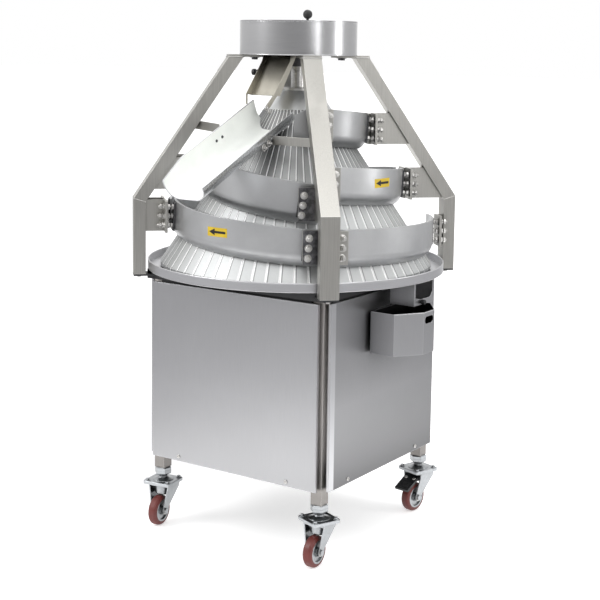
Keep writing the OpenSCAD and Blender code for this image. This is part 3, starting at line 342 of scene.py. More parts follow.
class NodeMaker:
    """Adds nodes to one shader tree and links them."""

    def __init__(self, tree):
        self.tree = tree

    def fill(self, socket, value):
        """Links a socket to another one, or sets it to a plain value."""
        if isinstance(value, bpy.types.NodeSocket):
            self.tree.links.new(value, socket)
        else:
            socket.default_value = value

    def node(self, kind, inputs=(), **options):
        """Adds a node, sets its options, and fills its inputs with values or links."""
        made = self.tree.nodes.new(kind)
        for name, value in options.items():
            setattr(made, name, value)
        for key, value in dict(inputs).items():
            self.fill(made.inputs[key], value)
        return made

    def place(self):
        """Place on the object, along its own axes."""
        return self.node("ShaderNodeTexCoord").outputs["Object"]

    def normal(self):
        """Direction that the surface faces."""
        return self.node("ShaderNodeNewGeometry").outputs["Normal"]

    def split(self, vector):
        """The three parts of a vector."""
        return self.node("ShaderNodeSeparateXYZ", {0: vector}).outputs

    def calc(self, operation, *values, **options):
        """A sum on numbers."""
        made = self.node("ShaderNodeMath", dict(enumerate(values)), operation=operation, **options)
        return made.outputs[0]

    def vector(self, operation, *values):
        """A sum on vectors. What measures a vector gives a number."""
        made = self.node("ShaderNodeVectorMath", dict(enumerate(values)), operation=operation)
        return made.outputs["Value" if operation in MEASURES else 0]

    def ranged(self, value, start, end, low=0.0, high=1.0, curve="LINEAR"):
        """Turns the stretch of a value from start to end into the one from low to high."""
        inputs = {0: value, 1: start, 2: end, 3: low, 4: high}
        return self.node("ShaderNodeMapRange", inputs, interpolation_type=curve).outputs[0]

    def noise(self, where, scale, detail, **inputs):
        """Soft random values over a place."""
        inputs = {"Vector": where, "Scale": scale, "Detail": detail, **inputs}
        return self.node("ShaderNodeTexNoise", inputs).outputs[0]

    def mix(self, mask, a, b):
        """Colour a where the mask is 0 and colour b where it is 1."""
        made = self.node("ShaderNodeMix", {0: mask}, data_type="RGBA")
        for key, value in ((6, a), (7, b)):
            plain = not isinstance(value, bpy.types.NodeSocket)
            self.fill(made.inputs[key], (*value, 1.0) if plain else value)
        return made.outputs[2]


class GroupMaker(NodeMaker):
    """Builds one shader node group with named inputs and outputs."""

    def __init__(self, name):
        super().__init__(bpy.data.node_groups.new(name, "ShaderNodeTree"))
        self.inlet = self.tree.nodes.new("NodeGroupInput")
        self.outlet = self.tree.nodes.new("NodeGroupOutput")

    def input(self, name, kind, default):
        """Adds a named input and gives the socket that carries it."""
        socket = self.tree.interface.new_socket(name=name, in_out="INPUT", socket_type=kind)
        socket.default_value = default
        return self.inlet.outputs[name]

    def output(self, name, kind, source):
        """Adds a named output that a socket feeds."""
        self.tree.interface.new_socket(name=name, in_out="OUTPUT", socket_type=kind)
        self.tree.links.new(source, self.outlet.inputs[name])


# Shader groups that several finishes share


def brushed_lines():
    """Fine lines along one direction, and broad bands of tone along the same direction."""
    made = GroupMaker("Brushed lines")
    stretch = made.input("Stretch", "NodeSocketVector", (400, 400, 6))
    fine = made.vector("MULTIPLY", made.place(), stretch)
    lines = made.noise(fine, 1.0, 4.0, Roughness=0.65)
    wide = made.vector("MULTIPLY", fine, (0.06, 0.06, 0.06))
    bands = made.noise(wide, 1.0, 2.0)
    made.output("Lines", "NodeSocketFloat", lines)
    made.output("Bands", "NodeSocketFloat", bands)
    return made.tree


def edge_wear_and_highlight():
    """A mask along outer edges, for edge wear and a painted highlight, and a normal that rounds them."""
    made = GroupMaker("Worn edges")
    radius = made.input("Radius", "NodeSocketFloat", 0.0008)
    rounded = made.node("ShaderNodeBevel", {"Radius": radius}, samples=4).outputs[0]
    alike = made.vector("DOT_PRODUCT", rounded, made.normal())
    made.output("Edge", "NodeSocketFloat", made.ranged(alike, 0.995, 0.85))
    made.output("Normal", "NodeSocketVector", rounded)
    return made.tree


def crevice_shade():
    """A mask that is 1 in tight corners and 0 in the open."""
    made = GroupMaker("Crevice shade")
    reach = made.input("Reach", "NodeSocketFloat", 0.02)
    open_air = made.node("ShaderNodeAmbientOcclusion", {"Distance": reach}, samples=4).outputs["AO"]
    made.output("Shade", "NodeSocketFloat", made.ranged(open_air, 0.85, 0.25))
    return made.tree


def soft_smudges():
    """Soft clouds of handling marks, and small specks."""
    made = GroupMaker("Soft smudges")
    scale = made.input("Scale", "NodeSocketFloat", 6.0)
    where = made.place()
    clouds = made.noise(where, scale, 5.0, Roughness=0.55)
    dots = made.noise(where, 900.0, 2.0)
    made.output("Smudge", "NodeSocketFloat", made.ranged(clouds, 0.38, 0.68))
    made.output("Speck", "NodeSocketFloat", made.ranged(dots, 0.62, 0.72))
    return made.tree


def cast_skin():
    """The fine pebbled skin of a casting or a moulding."""
    made = GroupMaker("Cast skin")
    scale = made.input("Scale", "NodeSocketFloat", 500.0)
    where = made.place()
    pits = made.node("ShaderNodeTexVoronoi", {"Vector": where, "Scale": scale}, feature="SMOOTH_F1")
    grit = made.noise(where, scale, 3.0)
    made.output("Height", "NodeSocketFloat", made.calc("ADD", pits.outputs["Distance"], grit))
    return made.tree


# Finishes


class Finish(NodeMaker):
    """One material: a Principled shader whose colour, roughness and normal come from shared groups."""

    def __init__(self, name):
        material = bpy.data.materials.new(name)
        material.use_nodes = True
        super().__init__(material.node_tree)
        self.shader = self.tree.nodes["Principled BSDF"]
        FINISH[name] = material

    def group(self, name, **inputs):
        """Places a shared group with its own values."""
        made = self.tree.nodes.new("ShaderNodeGroup")
        made.node_tree = GROUPS[name]
        for key, value in inputs.items():
            made.inputs[key].default_value = value
        return made.outputs

    def spread(self, mask, low, high):
        """Stretches the middle half of a noise from low to high."""
        return self.ranged(mask, 0.25, 0.75, low, high)

    def scaled(self, mask, factor):
        return self.calc("MULTIPLY", mask, factor)

    def set(self, **values):
        """Fills the shader's sockets, their names written with underscores."""
        for key, value in values.items():
            self.fill(self.shader.inputs[key.replace("_", " ")], value)

    def over(self, mask, tone):
        """Lays a colour over the one that the finish has so far, where the mask is 1."""
        under = self.shader.inputs["Base Color"].links[0].from_socket
        self.set(Base_Color=self.mix(mask, under, tone))

    def bump(self, height, strength, distance, normal=None):
        """A normal that follows a height, laid on another normal where one is given."""
        inputs = {"Height": height, "Strength": strength, "Distance": distance}
        if normal is not None:
            inputs["Normal"] = normal
        return self.node("ShaderNodeBump", inputs).outputs[0]


def shade(base, factor):
    """A colour made darker or lighter."""
    return tuple(min(1.0, channel * factor) for channel in base)


def brushed(name, base, stretch, rough, tone=0.07, edge=0.0008, reach=0.03, corner_shade=0.6,
            low_shade=0.0, low_shade_tone=0.6):
    """Brushed sheet or tube: lines, broad bands, smudges, edges lighter from wear and as a painted
    highlight, painted shade in corners, painted shade low down.
    """
    made = Finish(name)
    grain = made.group("Brushed lines", Stretch=stretch)
    marks = made.group("Soft smudges", Scale=5.0)
    edges = made.group("Worn edges", Radius=edge)
    corner = made.group("Crevice shade", Reach=reach)
    toned = made.mix(made.spread(grain["Lines"], 0, 1), shade(base, 1 - tone), shade(base, 1 + tone))
    banded = made.mix(made.scaled(grain["Bands"], tone * 2), toned, shade(base, 1.12))
    marked = made.mix(made.scaled(marks["Smudge"], 0.18), banded, shade(base, 0.88))
    # Painted shade: the sheet darker towards the bottom
    if low_shade:
        height = made.split(made.place())[2]
        low = made.ranged(height, LOW_SHADE_TOP, LOW_SHADE_FOOT, 0.0, low_shade)
        marked = made.mix(low, marked, shade(base, low_shade_tone))
    # Painted shade in corners and recesses
    cornered = made.mix(made.scaled(corner["Shade"], corner_shade), marked, shade(base, 0.22))
    # Edges lighter from wear and as a painted highlight
    edged = made.mix(made.scaled(edges["Edge"], 0.5), cornered, shade(base, 1.4))
    made.set(Base_Color=edged, Metallic=1.0, Anisotropic=0.35)
    made.set(Roughness=made.spread(grain["Lines"], rough - 0.04, rough + 0.05))
    made.set(Normal=made.bump(grain["Lines"], 0.06, 0.0002, edges["Normal"]))
    return made


def cast(name, base, rough, pebble=420.0, depth=0.0005, reach=0.05, metal=1.0, edge=0.0015):
    """Satin casting: pebbled skin, soft clouds of tone, painted shade in crevices, edges lighter from wear
    and as a painted highlight.
    """
    made = Finish(name)
    skin = made.group("Cast skin", Scale=pebble)
    marks = made.group("Soft smudges", Scale=9.0)
    edges = made.group("Worn edges", Radius=edge)
    corner = made.group("Crevice shade", Reach=reach)
    clouded = made.mix(made.scaled(marks["Smudge"], 0.5), shade(base, 1.06), shade(base, 0.88))
    specked = made.mix(made.scaled(marks["Speck"], 0.3), clouded, shade(base, 0.7))
    # Painted shade in crevices
    cornered = made.mix(made.scaled(corner["Shade"], 0.5), specked, shade(base, 0.3))
    # Edges lighter from wear and as a painted highlight
    edged = made.mix(made.scaled(edges["Edge"], 0.6), cornered, shade(base, 1.45))
    made.set(Base_Color=edged, Metallic=metal)
    made.set(Roughness=made.spread(marks["Smudge"], rough, rough + 0.1))
    made.set(Normal=made.bump(skin["Height"], 0.18, depth, edges["Normal"]))


def moulded(name, base, rough, pebble=900.0):
    """Moulded plastic or rubber: a fine skin, duller where it is handled, paler at its edges from wear and
    as a painted highlight.
    """
    made = Finish(name)
    skin = made.group("Cast skin", Scale=pebble)
    marks = made.group("Soft smudges", Scale=30.0)
    edges = made.group("Worn edges", Radius=0.0009)
    clouded = made.mix(made.scaled(marks["Smudge"], 0.5), shade(base, 0.85), shade(base, 1.2))
    # Paler edges from wear and as a painted highlight
    edged = made.mix(made.scaled(edges["Edge"], 0.35), clouded, tuple(c * 0.7 + 0.12 for c in base))
    made.set(Base_Color=edged)
    made.set(Roughness=made.spread(marks["Smudge"], rough - 0.06, rough + 0.1))
    made.set(Normal=made.bump(skin["Height"], 0.1, 0.0003, edges["Normal"]))
    return made


def machined_cone():
    """Machined aluminium whose strips differ a little in tone, with a painted highlight in each groove,
    painted shade beside it and in crevices, and painted shade towards the top.
    """
    base = colours().cone
    made = Finish("machined_cone")
    grain = made.group("Brushed lines", Stretch=(60, 60, 700))
    marks = made.group("Soft smudges", Scale=7.0)
    corner = made.group("Crevice shade", Reach=0.012)
    where = made.place()
    axes = made.split(where)
    strip = made.scaled(made.calc("ARCTAN2", axes[1], axes[0]), sizes().rib_count / (2 * math.pi))
    number = made.calc("FLOOR", strip)
    chance = made.node("ShaderNodeTexWhiteNoise", {"W": number}, noise_dimensions="1D").outputs["Value"]
    stripped = made.mix(chance, shade(base, 0.92), shade(base, 1.04))
    toned = made.mix(made.scaled(made.spread(grain["Lines"], 0, 1), 0.2), stripped, shade(base, 0.85))
    marked = made.mix(made.scaled(marks["Smudge"], 0.2), toned, shade(base, 1.15))
    # Painted shade: darker towards the top, where the upper track and the chute shade the cone
    top_shade = made.ranged(axes[2], 1.08, 1.30, 0.0, 0.78)
    top_shaded = made.mix(top_shade, marked, shade(base, 0.45))
    # Painted shade in crevices
    cornered = made.mix(made.scaled(corner["Shade"], 0.5), top_shaded, shade(base, 0.3))
    distance = made.vector("LENGTH", made.vector("MULTIPLY", where, (1, 1, 0)))
    # The painted highlights in the grooves get thinner towards the top
    thin = made.ranged(distance, 0.1, 0.42, 2.2, 1.0)
    radius = made.calc("MULTIPLY", distance, thin)
    half = sizes().groove_w * sizes().rib_count / (4 * math.pi)
    arc = made.calc("MULTIPLY", made.calc("PINGPONG", strip, 0.5), radius)
    groove = made.ranged(arc, half * 1.7, half * 1.2, 0.0, 0.9)
    # Painted shade: a dark line on one side of each groove
    along = made.calc("MULTIPLY", made.calc("FRACT", strip), radius)
    beside = made.ranged(along, half * 3.2, half * 2.6, 0.0, 0.7)
    lined = made.mix(beside, cornered, shade(base, 0.3))
    # Painted highlight: each groove turned white
    groove_highlit = made.mix(groove, lined, (1.0, 1.0, 1.0))
    made.set(Base_Color=groove_highlit, Metallic=1.0)
    made.set(Roughness=made.spread(grain["Lines"], 0.50, 0.60))
    made.set(Normal=made.bump(grain["Lines"], 0.1, 0.0004))


def side_panel_steel():
    """Panel steel made darker as painted shade, with deep painted shadow below the tray, painted shade low
    down, and a painted highlight on the bend beside the front post.
    """
    base = shade(colours().panel, 0.86)
    # Painted shade: darker base, deep corner shade under the tray, and darker low down
    made = brushed("side_panel_steel", base, UPRIGHT, 0.34, edge=0.005, reach=0.12, corner_shade=0.9,
                   low_shade=1.0, low_shade_tone=0.30)
    edge_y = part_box("right_panel")[0].y
    across = made.split(made.place())[1]
    # Painted highlight along the bend beside the front post
    bend = made.ranged(across, edge_y + 0.029, edge_y + 0.025, 0.0, 0.8)
    made.over(bend, shade(base, 1.6))


def bin_steel():
    """Folded sheet, with painted shade over its inner faces."""
    base = colours().panel
    made = brushed("bin_steel", base, UPRIGHT, 0.34, edge=0.0015, reach=0.07, corner_shade=0.75)
    low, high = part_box("catch_bin")
    outward = made.vector("SUBTRACT", made.place(), (low + high) / 2)
    facing_out = made.vector("DOT_PRODUCT", outward, made.normal())
    # Painted shade: the inner faces made near black
    inside = made.calc("LESS_THAN", facing_out, 0.0)
    made.over(inside, shade(base, 0.14))


def tray_steel():
    """Bright rolled rim and floor, with painted shade on the underside."""
    base = shade(colours().panel, 1.36)
    made = brushed("tray_steel", base, LEVEL, 0.32)
    # Painted shade: faces that look down made near black
    height = made.split(made.normal())[2]
    under = made.ranged(height, -0.3, -0.7)
    made.over(under, shade(base, 0.12))


def bracket_steel():
    """Leg steel, with painted shadow of the legs on the flanges where a segment starts."""
    base = shade(colours().tube, 1.12)
    made = brushed("bracket_steel", base, STREAKS, 0.36, tone=0.16, edge=0.001, corner_shade=0.45)
    where = made.place()
    outward = made.vector("NORMALIZE", made.vector("MULTIPLY", where, (1, 1, 0)))
    facing_out = made.vector("DOT_PRODUCT", outward, made.normal())
    flange = made.calc("GREATER_THAN", facing_out, 0.8)
    # Quarter turns counted from a leg, so a share above a half lies just before the next leg
    axes = made.split(where)
    around = made.calc("ARCTAN2", axes[1], axes[0])
    quarter = made.calc("MULTIPLY_ADD", around, 2 / math.pi, -0.5)
    start = made.calc("GREATER_THAN", made.calc("FRACT", quarter), 0.5)
    marks = made.group("Soft smudges", Scale=60.0)
    scale = made.mix(marks["Smudge"], shade(colours().plate, 1.3), shade(colours().plate, 2.8))
    # Painted shadow of the leg, mottled by smudges, on the flanges where a segment starts
    made.over(made.calc("MULTIPLY", flange, start), scale)


def arrow_yellow():
    """Printed vinyl: flat colour broken by faint wear and a fine skin."""
    made = moulded("arrow_yellow", colours().yellow, 0.42, PRINT_GRAIN)
    made.set(Coat_Weight=0.25)


# Operators


class ROUNDER_OT_finishes(bpy.types.Operator):
    """Make the shader groups and materials, and give every CAD node its finish"""

    bl_idname = "rounder.finishes"
    bl_label = "Finishes"

    def execute(self, context):
        for maker in (brushed_lines, edge_wear_and_highlight, crevice_shade, soft_smudges, cast_skin):
            tree = maker()
            GROUPS[tree.name] = tree
        self.add_materials()
        self.dress_nodes()
        return {"FINISHED"}

    def add_materials(self):
        c = colours()
        brushed("panel_steel", c.panel, UPRIGHT, 0.34, edge=0.005, low_shade=0.5)
        side_panel_steel()
        brushed("folded_sheet", c.panel, UPRIGHT, 0.34, edge=0.0015, reach=0.07, corner_shade=0.75)
        brushed("post_steel", c.post, STREAKS, 0.46, tone=0.14, edge=0.0012, corner_shade=0.12,
                low_shade=1.0, low_shade_tone=0.38)
        # Painted shadow: the deck and rails under the tray made near black
        brushed("deck_steel", shade(c.panel, 0.16), LEVEL, 0.5)
        brushed("leg_steel", c.tube, STREAKS, 0.36, tone=0.2, edge=0.0014, corner_shade=0.45)
        brushed("drum_steel", c.drum, LEVEL, 0.22, tone=0.09)
        brushed("rim_steel", shade(c.panel, 1.25), LEVEL, 0.32)
        tray_steel()
        bin_steel()
        brushed("bright_sheet", c.sheet, UPRIGHT, 0.26, tone=0.05, corner_shade=0.25)
        cast("chute_coat", c.coat, 0.42, pebble=1400.0, depth=0.0002, metal=0.0, edge=0.0005)
        brushed("hood_steel", c.hood, UPRIGHT, 0.36, reach=0.09, corner_shade=0.8)
        brushed("shaft_steel", c.bolt, LEVEL, 0.28)
        brushed("zinc_plate", c.zinc, (90, 90, 90), 0.30, tone=0.18, edge=0.0016, reach=0.04, corner_shade=0.9)
        cast("cast_track", c.casting, 0.38)
        # Painted shade: the upper track a darker copy of the casting
        cast("upper_cast_track", shade(c.casting, 0.82), 0.42)
        cast("cone_cap_skin", shade(c.cone, 1.2), 0.34, depth=0.0003)
        cast("bright_bolt", c.bolt, 0.3, pebble=1200.0, edge=0.0006, reach=0.008)
        cast("dark_plate", c.plate, 0.5, metal=0.6, reach=0.02)
        moulded("tyre_red", c.tyre, 0.45)
        moulded("black_plastic", c.black, 0.42)
        moulded("green_plastic", c.green, 0.35)
        moulded("red_plastic", c.red, 0.35)
        moulded("print_black", c.ink, 0.45, PRINT_GRAIN)
        machined_cone()
        bracket_steel()
        arrow_yellow()

    def dress_nodes(self):
        castings = [f"{turn}_track_{k}" for turn in ("lower", "middle") for k in (1, 2, 3, 4)]
        finish_of = {
            "panel_steel": ["front_panel", "left_panel"],
            "side_panel_steel": ["right_panel", "rear_panel"],
            "folded_sheet": ["flour_spout", "bin_hook"],
            "bin_steel": ["catch_bin"],
            "post_steel": ["corner_posts"],
            "deck_steel": ["deck", "frame_rails"],
            "leg_steel": [f"{k}_leg" for k in CORNERS] + ["chute_bars"],
            "bracket_steel": ["track_brackets"],
            "drum_steel": ["drum_shell", "lid_fixed", "lid_flap"],
            "tray_steel": ["tray"],
            "bright_sheet": ["chute"],
            "hood_steel": ["flour_hood", "agitator"],
            "shaft_steel": ["main_shaft"],
            "zinc_plate": ["caster_stems"] + [f"{k}_{part}" for part in ("fork", "hub") for k in CORNERS],
            "cast_track": castings + ["gearbox"],
            "upper_cast_track": ["upper_track"],
            "cone_cap_skin": ["cone_cap"],
            "machined_cone": ["cone"],
            "bright_bolt": ["frame_screws", "track_studs"],
            "dark_plate": ["joint_plates", "upper_bearing", "motor"],
            "tyre_red": [f"{k}_tyre" for k in CORNERS],
            "black_plastic": ["lid_knob", "right_brake_pedal", "rear_brake_pedal", "switch_box"],
            "green_plastic": ["start_button"],
            "red_plastic": ["stop_button"],
        }
        for finish, nodes in finish_of.items():
            for node in nodes:
                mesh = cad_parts[node].data
                mesh.materials.clear()
                mesh.materials.append(FINISH[finish])
        bare = set(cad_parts) - {n for nodes in finish_of.values() for n in nodes}
        if bare:
            raise RuntimeError(f"nodes without a finish: {sorted(bare)}")


class ROUNDER_OT_cone(bpy.types.Operator):
    """Cut the narrow round-ended grooves between the cone's ribs"""

    bl_idname = "rounder.cone"
    bl_label = "Ribbed cone"

    foot_h = 0.010
    wall = 0.0108
    band = 0.004
    # A groove's section, as shares of its half width and depth
    section = ((-1.0, 0.0), (-0.75, 0.66), (-0.35, 0.94), (0.35, 0.94), (0.75, 0.66), (1.0, 0.0))
    # Steps up a groove's round end, what stays open above it, and the least width of its lines
    end_steps = (0.3, 0.55, 0.75, 0.9, 0.97)
    closed = 0.03
    least = 0.05
    # Lines on a rib, between one groove and the next
    rib_steps = (0.25, 0.5, 0.75)

    def execute(self, context):
        s = sizes()
        low, high = CONE_LOW.z, CONE_HIGH.z
        foot_r, top_r = CONE_R, CAP_HIGH.x
        foot_top = low + self.foot_h
        half = s.groove_w / 2
        groove_end = high - self.band

        def radius(z):
            return foot_r + (top_r - foot_r) * max(0.0, (z - foot_top) / (high - foot_top))

        rows = [(low, 1.0), (foot_top, 1.0), (groove_end - half, 1.0)]
        for t in self.end_steps:
            rows.append((groove_end - half + half * t, math.sqrt(1 - t * t)))
        rows += [(groove_end, self.closed), (high, self.closed)]
        pitch = 2 * math.pi / s.rib_count
        bm = bmesh.new()
        rings = []
        for z, open_share in rows:
            r = radius(z)
            ring = []
            for k in range(s.rib_count):
                for side, depth in self.section:
                    angle = k * pitch + side * half * max(open_share, self.least) / r
                    deep = r - depth * s.groove_d * open_share
                    ring.append(bm.verts.new(polar(deep, angle, z)))
                for share in self.rib_steps:
                    start = k * pitch + half / r
                    angle = start + (pitch - 2 * half / r) * share
                    ring.append(bm.verts.new(polar(r, angle, z)))
            rings.append(ring)
        count = len(rings[0])
        for z, r in ((high, top_r - self.wall), (low, foot_r - self.wall)):
            rings.append([bm.verts.new(polar(r, 2 * math.pi * j / count, z)) for j in range(count)])
        for lower, upper in zip(rings, rings[1:] + rings[:1]):
            for j in range(count):
                nxt = (j + 1) % count
                bm.faces.new((lower[j], lower[nxt], upper[nxt], upper[j]))
        made = piece("ribbed_cone", bm, "machined_cone", "rotor", smooth=28)
        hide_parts("cone")
        return {"FINISHED"}


class ROUNDER_OT_cone_cap(bpy.types.Operator):
    """Turn the smooth cap and the bright ring around its flat top"""

    bl_idname = "rounder.cone_cap"
    bl_label = "Cone cap"

    ring_h = 0.0085
    ring_w = 0.006
    plate_t = 0.008
    bore_r = 0.0237
    flat_lift = 0.0015

    def execute(self, context):
        low, high = CAP_LOW.z, CAP_HIGH.z
        foot_r = CAP_HIGH.x
        # The slope runs on from the cone's
        slope = (CONE_R - foot_r) / (CONE_HIGH.z - CONE_LOW.z - ROUNDER_OT_cone.foot_h)
        seat = high - self.ring_h
        seat_r = foot_r - (seat - low) * slope
        ring_r = foot_r - (high - low) * slope
        wall = ROUNDER_OT_cone.wall
        flat = high - self.ring_h + self.flat_lift
        skin = [
            (foot_r - wall, low), (foot_r - 0.0004, low), (foot_r, low + 0.0005),
            (seat_r + 0.0012, seat - 0.0014), (seat_r - 0.0004, seat - 0.0001), (ring_r - 0.001, seat),
            (ring_r - self.ring_w, flat), (self.bore_r, flat), (self.bore_r, flat - self.plate_t),
            (ring_r - 0.006, flat - self.plate_t), (foot_r - wall, low),
        ]
        bm = bmesh.new()
        turned(bm, skin, segments=128)
        made = piece("turned_cap", bm, "cone_cap_skin", "rotor", smooth=30)
        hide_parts("cone_cap")
        ring = [
            (ring_r - self.ring_w, flat), (ring_r - self.ring_w, high - 0.001),
            (ring_r - self.ring_w + 0.001, high), (ring_r - 0.0015, high), (ring_r, high - 0.0015),
            (ring_r, seat), (ring_r - self.ring_w, seat - 0.0002), (ring_r - self.ring_w, flat),
        ]
        bm = bmesh.new()
        turned(bm, ring, segments=96)
        piece("cap_ring", bm, "bright_bolt", "rotor", smooth=40)
        return {"FINISHED"}


class ROUNDER_OT_studs(bpy.types.Operator):
    """Thread the track's adjusting studs, put nuts on both sides of the brackets and a lock nut outside"""

    bl_idname = "rounder.studs"
    bl_label = "Studs and nuts"

    rod_r = 0.005
    nut_h = 0.0065
    washer_h = 0.0014
    lock_gap = 0.011
    # Rays around a stud that look for the bracket's faces: count, reach, start past the stud's ends
    probes = 8
    probe_reach = 0.06
    past_tip = 0.02
    past_root = 0.002

    def execute(self, context):
        s = sizes()
        plates = surface("track_brackets")
        bm = bmesh.new()
        for k, points in enumerate(islands("track_studs")):
            middle = points.mean(axis=0)
            _, _, axes = np.linalg.svd(points - middle)
            axis = Vector(axes[0])
            if axis.dot(Vector((middle[0], middle[1], 0))) < 0:
                axis = -axis
            along = (points - middle) @ np.array(axis)
            root = Vector(middle) + axis * float(along.min())
            reach = float(along.max() - along.min())
            place = facing(root, axis)
            turned(bm, [(0, 0)] + thread(0, reach, self.rod_r, s.thread_pitch) + [(0, reach)], place, 12)
            # The nuts are turned by uneven steps, as they come to rest when tightened
            nut(bm, place, s.nut_flats, self.nut_h, k * 0.7)
            for side in (1, -1):
                face = self.flange_face(plates, place, reach, side)
                if face is None:
                    continue
                spot = place @ Matrix.Translation((0, 0, face))
                if side < 0:
                    spot = spot @ Matrix.Rotation(math.pi, 4, "X")
                else:
                    lock = spot @ Matrix.Translation((0, 0, self.lock_gap))
                    nut(bm, lock, s.nut_flats, self.nut_h, k * 0.9)
                washer(bm, spot, s.nut_flats * 0.72, self.washer_h)
                seat = spot @ Matrix.Translation((0, 0, self.washer_h))
                nut(bm, seat, s.nut_flats, self.nut_h, k * 1.3 + side)
        made = piece("stud_set", bm, "bright_bolt", "frame")
        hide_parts("track_studs")
        return {"FINISHED"}

    def flange_face(self, plates, place, reach, side):
        """Distance along a stud to the bracket's outer face (side 1) or inner face (side -1)."""
        found = []
        aim = (place.to_3x3() @ Vector((0, 0, -side))).normalized()
        for j in range(self.probes):
            angle = 2 * math.pi * j / self.probes
            off = Vector((math.cos(angle), math.sin(angle), 0)) * self.rod_r * 1.5
            start = off + Vector((0, 0, reach + self.past_tip if side > 0 else -self.past_root))
            hit = plates.ray_cast(place @ start, aim, self.probe_reach)[0]
            if hit is not None:
                found.append((place.inverted() @ hit).z)
        if not found:
            return None
        return max(found) if side > 0 else min(found)


class ROUNDER_OT_screws(bpy.types.Operator):
    """Fit the panels' round screws and the bolts under the legs"""

    bl_idname = "rounder.screws"
    bl_label = "Panel screws and leg bolts"

    bolt_flats = 0.013
    washer_h = 0.0016

    def execute(self, context):
        s = sizes()
        bm = bmesh.new()
        for points in islands("frame_screws"):
            low, high = points.min(axis=0), points.max(axis=0)
            middle = (low + high) / 2
            thin = int(np.argmin(high - low))
            outward = Vector((0, 0, 0))
            outward[thin] = -1.0 if thin == 2 else math.copysign(1.0, middle[thin])
            height = float(high[thin] - low[thin])
            place = facing(Vector(middle) - outward * height / 2, outward)
            if thin == 2:
                washer(bm, place, self.bolt_flats * 0.9, self.washer_h)
                seat = place @ Matrix.Translation((0, 0, self.washer_h))
                nut(bm, seat, self.bolt_flats, height - self.washer_h)
            else:
                round_screw(bm, place, s.screw_r, height)
        made = piece("frame_screw_set", bm, "bright_bolt", "frame")
        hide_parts("frame_screws")
        return {"FINISHED"}


